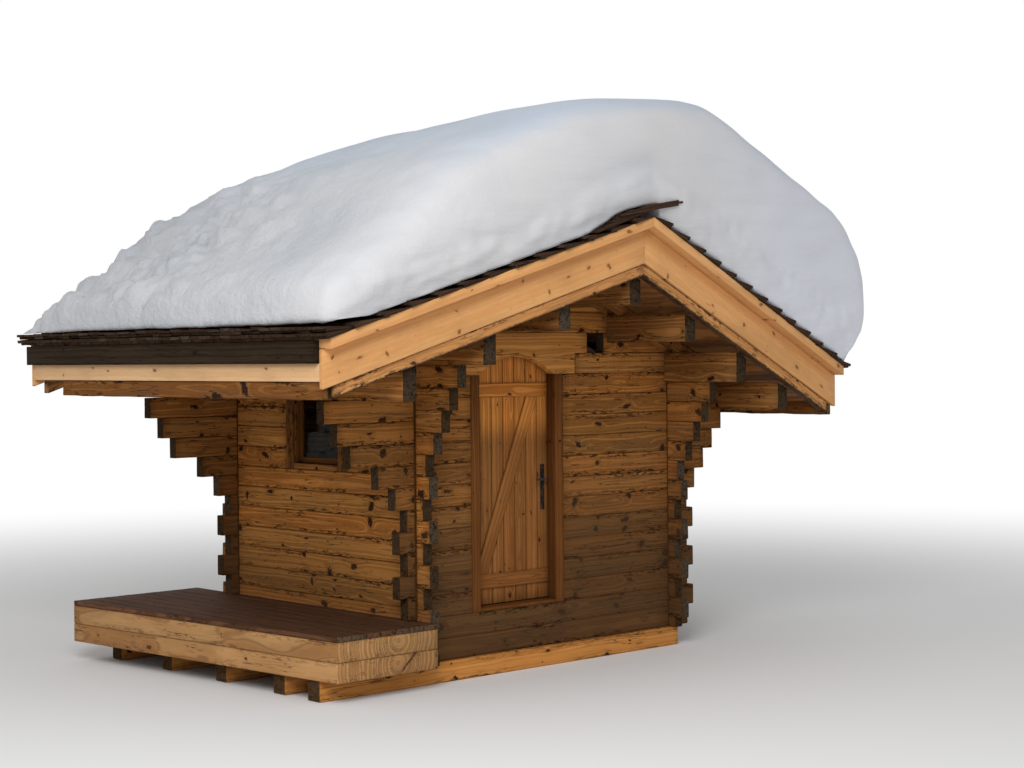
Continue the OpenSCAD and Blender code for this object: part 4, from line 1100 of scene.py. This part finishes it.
normals = read_rows(closed.vertices, "normal")
upper_x, upper_y, upper_z = upper.T
above_seat = upper_z - seat_height(upper_x)
lumpy = ease(-upper_x, 0.5, 2.3) * (0.10 + 0.90 * ease(upper_y, -1.6, 0.6)) + 0.5 * ease(upper_y, 1.2, 2.2)
lumpy = np.minimum(lumpy, 1.0)
above_fold = upper_z - soft_roof(upper_x) - 0.48 + 0.12 * np.clip(-upper_x, 0, 1)
groove = np.exp(-(above_fold / 0.10) ** 2) * np.exp(-((upper_x - 0.20) / 0.80) ** 2)
lip = np.exp(-((above_fold + 0.20) / 0.10) ** 2) * np.exp(-((upper_x - 0.2) / 1.0) ** 2)
front = ease(-upper_y, 1.9, 2.2)
below_fold = ease(-above_fold, -0.02, 0.14)
moved = upper.copy()
for i, point in enumerate(upper):
    at = Vector(point)
    drift = noise.noise(at * 0.8) * 0.035
    ripple = noise.noise(Vector((at.x * 2.2, at.y * 2.2, at.z * 6.5)) + Vector((3, 1, 8))) * 0.012
    lump = (abs(noise.noise(at * 2.9 + Vector((7, 3, 1)))) - 0.18) * 0.13
    streaky = Vector((at.x * 2.6, at.y * 3.0, (at.z + abs(at.x) * 0.37) * 9.0))
    low_lump = (noise.noise(streaky) * 0.020 + noise.noise(at * 9.0) * 0.009) * front[i] * below_fold[i]
    crust = (abs(noise.noise(at * 7.3 + Vector((1, 5, 2)))) - 0.15) * 0.06 + noise.noise(at * 16.0) * 0.020
    fold = front[i] * (groove[i] * 0.034 - lip[i] * 0.014)
    push = drift + ripple + low_lump + (lump + crust) * lumpy[i] - fold
    moved[i] += normals[i] * push * min(max(above_seat[i], 0) / 0.12, 1)
    ragged = noise.noise(Vector((0, at.y * 2.6, 4.0))) * 0.030
    ragged += noise.noise(Vector((0, at.y * 8.0, 9.0))) * 0.022
    moved[i][0] += (max(ragged, -0.02) + 0.008) * ease(-at.x, 2.3, 2.95)
    foot = front[i] * max(1 - (at.z - roof_height(at.x)) / 0.20, 0)
    moved[i][1] += (noise.noise(Vector((at.x * 4.0, 2.0, 0))) + 0.5) * 0.016 * foot

soft_stop = 0.08  # metres before the measured box in which the snow's sides are held back
for side, limit in ((-1, -cad_box[0][0] - 0.004), (1, cad_box[1][0] - 0.004)):
    over = np.maximum(side * moved[:, 0] - (limit - soft_stop), 0)
    moved[:, 0] -= side * (over - soft_stop * (1 - np.exp(-over / soft_stop)))
moved[:, 2] = np.maximum(moved[:, 2], seat_height(moved[:, 0]))
move_points(closed, moved)
smooth(snow, 180)

# %% [markdown]
# Snow is almost white. Painted sky light makes it bluer where it faces up, and painted shade makes it
# bluer behind the front edge. The right slope is painted lighter, the painted shade on the left is greyer,
# and the broken part has crumbs.
# %% Snow finish
snow_look, t = start_material("packed snow")
at = t.add("TexCoord", out=3)
wide = t.noise(at, 1.2, 3.0)
fine = t.noise(at, 60.0, 3.0, 0.7)
hollows = t.rise(wide, 0.35, 0.7)
x, y, z = t.split(at)
behind = t.minus(y, t.times(t.math("ABSOLUTE", x), prow))
behind = t.rise(t.plus(behind, t.times(wide, 0.6)), -2.05, -1.25)
colour = t.mix(hollows, rgb(0.66, 0.655, 0.665), rgb(0.61, 0.615, 0.640))
# The right slope is painted lighter.
colour = t.mix(t.rise(x, 0.2, 1.9), colour, rgb(0.735, 0.755, 0.820))
shaded = t.mix(hollows, rgb(0.57, 0.630, 0.710), rgb(0.51, 0.575, 0.660))
# A greyer painted shade on the left.
left_painted_shade = t.mix(hollows, rgb(0.585, 0.600, 0.625), rgb(0.520, 0.545, 0.580))
shaded = t.mix(t.rise(x, -0.8, -2.2), shaded, left_painted_shade)
shaded = t.mix(t.rise(x, 0.0, 1.5), shaded, rgb(0.63, 0.665, 0.725))
# Painted sky light: bluer where the surface faces up.
painted_sky_light = t.plus(t.split(t.add("TexCoord", out=1))[2], t.swing(wide, 0.4))
painted_sky_light = t.times(t.rise(painted_sky_light, 0.35, 0.95), t.rise(x, -2.3, -0.9, 0.25, 0.9))
colour = t.mix(painted_sky_light, colour, rgb(0.500, 0.572, 0.670))
colour = t.mix(t.times(behind, 0.8), colour, shaded)
colour = t.mix(t.rise(fine, 0.5, 0.8, 0.0, 0.25), colour, rgb(0.72, 0.730, 0.750))
broken = t.plus(t.rise(x, -1.3, -2.6), t.rise(y, 1.0, 2.0, 0.0, 0.6), clamp=True)
broken = t.times(broken, t.rise(y, -2.15, -1.2, 0.15, 1.0))
height = t.plus(t.times(fine, 0.25), t.times(t.stretched(at, (1.5, 5, 9), 4.0), 1.2))
height = t.plus(height, t.times(t.times(t.noise(at, 15.0, 5.0, 0.62), broken), 2.4))
t.surface(Base_Color=colour, Roughness=t.rise(fine, 0.3, 0.7, 0.6, 0.85), Specular_IOR_Level=0.2,
          Normal=t.add("Bump", {"Height": height, "Strength": 0.5, "Distance": 0.02}))
put(snow, snow_look, replaces=["roof_snow"])

# %% [markdown]
# ## Iron and glass
# The hinges, pins and lever are forged iron with a dark, slightly rusty skin. They keep their solids.
# The glass is thin and clear, with faint smears.
# %% Iron and glass
iron, t = start_material("forged iron")
at = t.add("TexCoord", out=3)
patch = t.noise(at, 28.0, 4.0, 0.6)
height = t.plus(patch, t.times(t.noise(at, 220.0, 3.0), 0.3))
t.surface(Base_Color=t.mix(t.rise(patch, 0.5, 0.72), rgb(0.042, 0.036, 0.032), rgb(0.095, 0.050, 0.028)),
          Metallic=t.rise(patch, 0.5, 0.72, 0.85, 0.2), Roughness=t.rise(patch, 0.3, 0.8, 0.42, 0.85),
          Normal=t.add("Bump", {"Height": height, "Strength": 0.3, "Distance": 0.001}))

glass, t = start_material("window glass")
smear = t.noise(t.add("TexCoord", out=3), 6.0, 3.0)
t.surface(Base_Color=t.mix(t.rise(smear, 0.3, 0.7), rgb(0.88, 0.93, 0.92), rgb(0.94, 0.97, 0.96)),
          Roughness=t.rise(smear, 0.4, 0.8, 0.0, 0.03), Transmission_Weight=1.0, IOR=1.10,
          Specular_IOR_Level=0.12)

# %% [markdown]
# ## Finishes for the solids that stay
# The timbers inside the roof and floor are right as they are and hardly seen. They stay as measured
# solids, and only their material slots are filled.
# %% Dress the solids that stay
stay = {
    inner_wood: ("floor_boards", "upper_rafters"), inner_wood_y: ("floor_bearers", "soffits", "roof_deck"),
    iron: ("hinge_pins", "door_handle", "door_hinges"), glass: ("window_glass",),
}
for material, nodes in stay.items():
    for node in nodes:
        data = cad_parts[node].data
        if not data.materials:
            data.materials.append(material)
        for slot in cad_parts[node].material_slots:
            slot.material = material
    print(material.name + ":", ", ".join(nodes))

# %% [markdown]
# ## Studio
# A pale floor, an even pale sky and one large soft lamp from the front left. The floor fades to white far
# away, so no horizon cuts through the picture.
# %% Floor, sky and lamp
bpy.ops.object.select_all(action="DESELECT")
bpy.ops.mesh.primitive_circle_add(vertices=96, radius=90, fill_type="NGON", location=(0, 0, -0.001))
floor = bpy.context.object
floor.name = "studio_floor"
pale, t = start_material("pale floor")
far = t.rise(t.add("VectorMath", {0: t.add("TexCoord", out=3)}, operation="LENGTH", out=1), 5.0, 17.0)
diffuse = t.add("BsdfDiffuse", {"Color": rgb(0.88, 0.88, 0.88)})
bright = t.add("Emission", {"Color": rgb(1, 1, 1), "Strength": 1.0})
t.place("OutputMaterial", {"Surface": t.add("MixShader", {0: t.times(far, t.seen()), 1: diffuse, 2: bright})})
floor.data.materials.append(pale)

world = bpy.data.worlds.new("studio sky")
scene.world = world
world.use_nodes = True
world.node_tree.nodes.clear()
t = Tree(world.node_tree)
strength = t.rise(t.seen(), 0.0, 1.0, 0.50, 1.0)
t.place("OutputWorld", {"Surface": t.add("Background", {"Color": rgb(1, 1, 1), "Strength": strength})})

lamp_data = bpy.data.lights.new("soft_key", "AREA")
lamp_data.shape, lamp_data.size, lamp_data.energy = "DISK", 7.0, 900
lamp = bpy.data.objects.new("soft_key", lamp_data)
lamp.location = (-9.5, -8.5, 8.5)
lamp.rotation_euler = (Vector((0, 0, 1.6)) - lamp.location).to_track_quat("-Z", "Y").to_euler()
scene.collection.objects.link(lamp)
scene.view_settings.view_transform = "Standard"
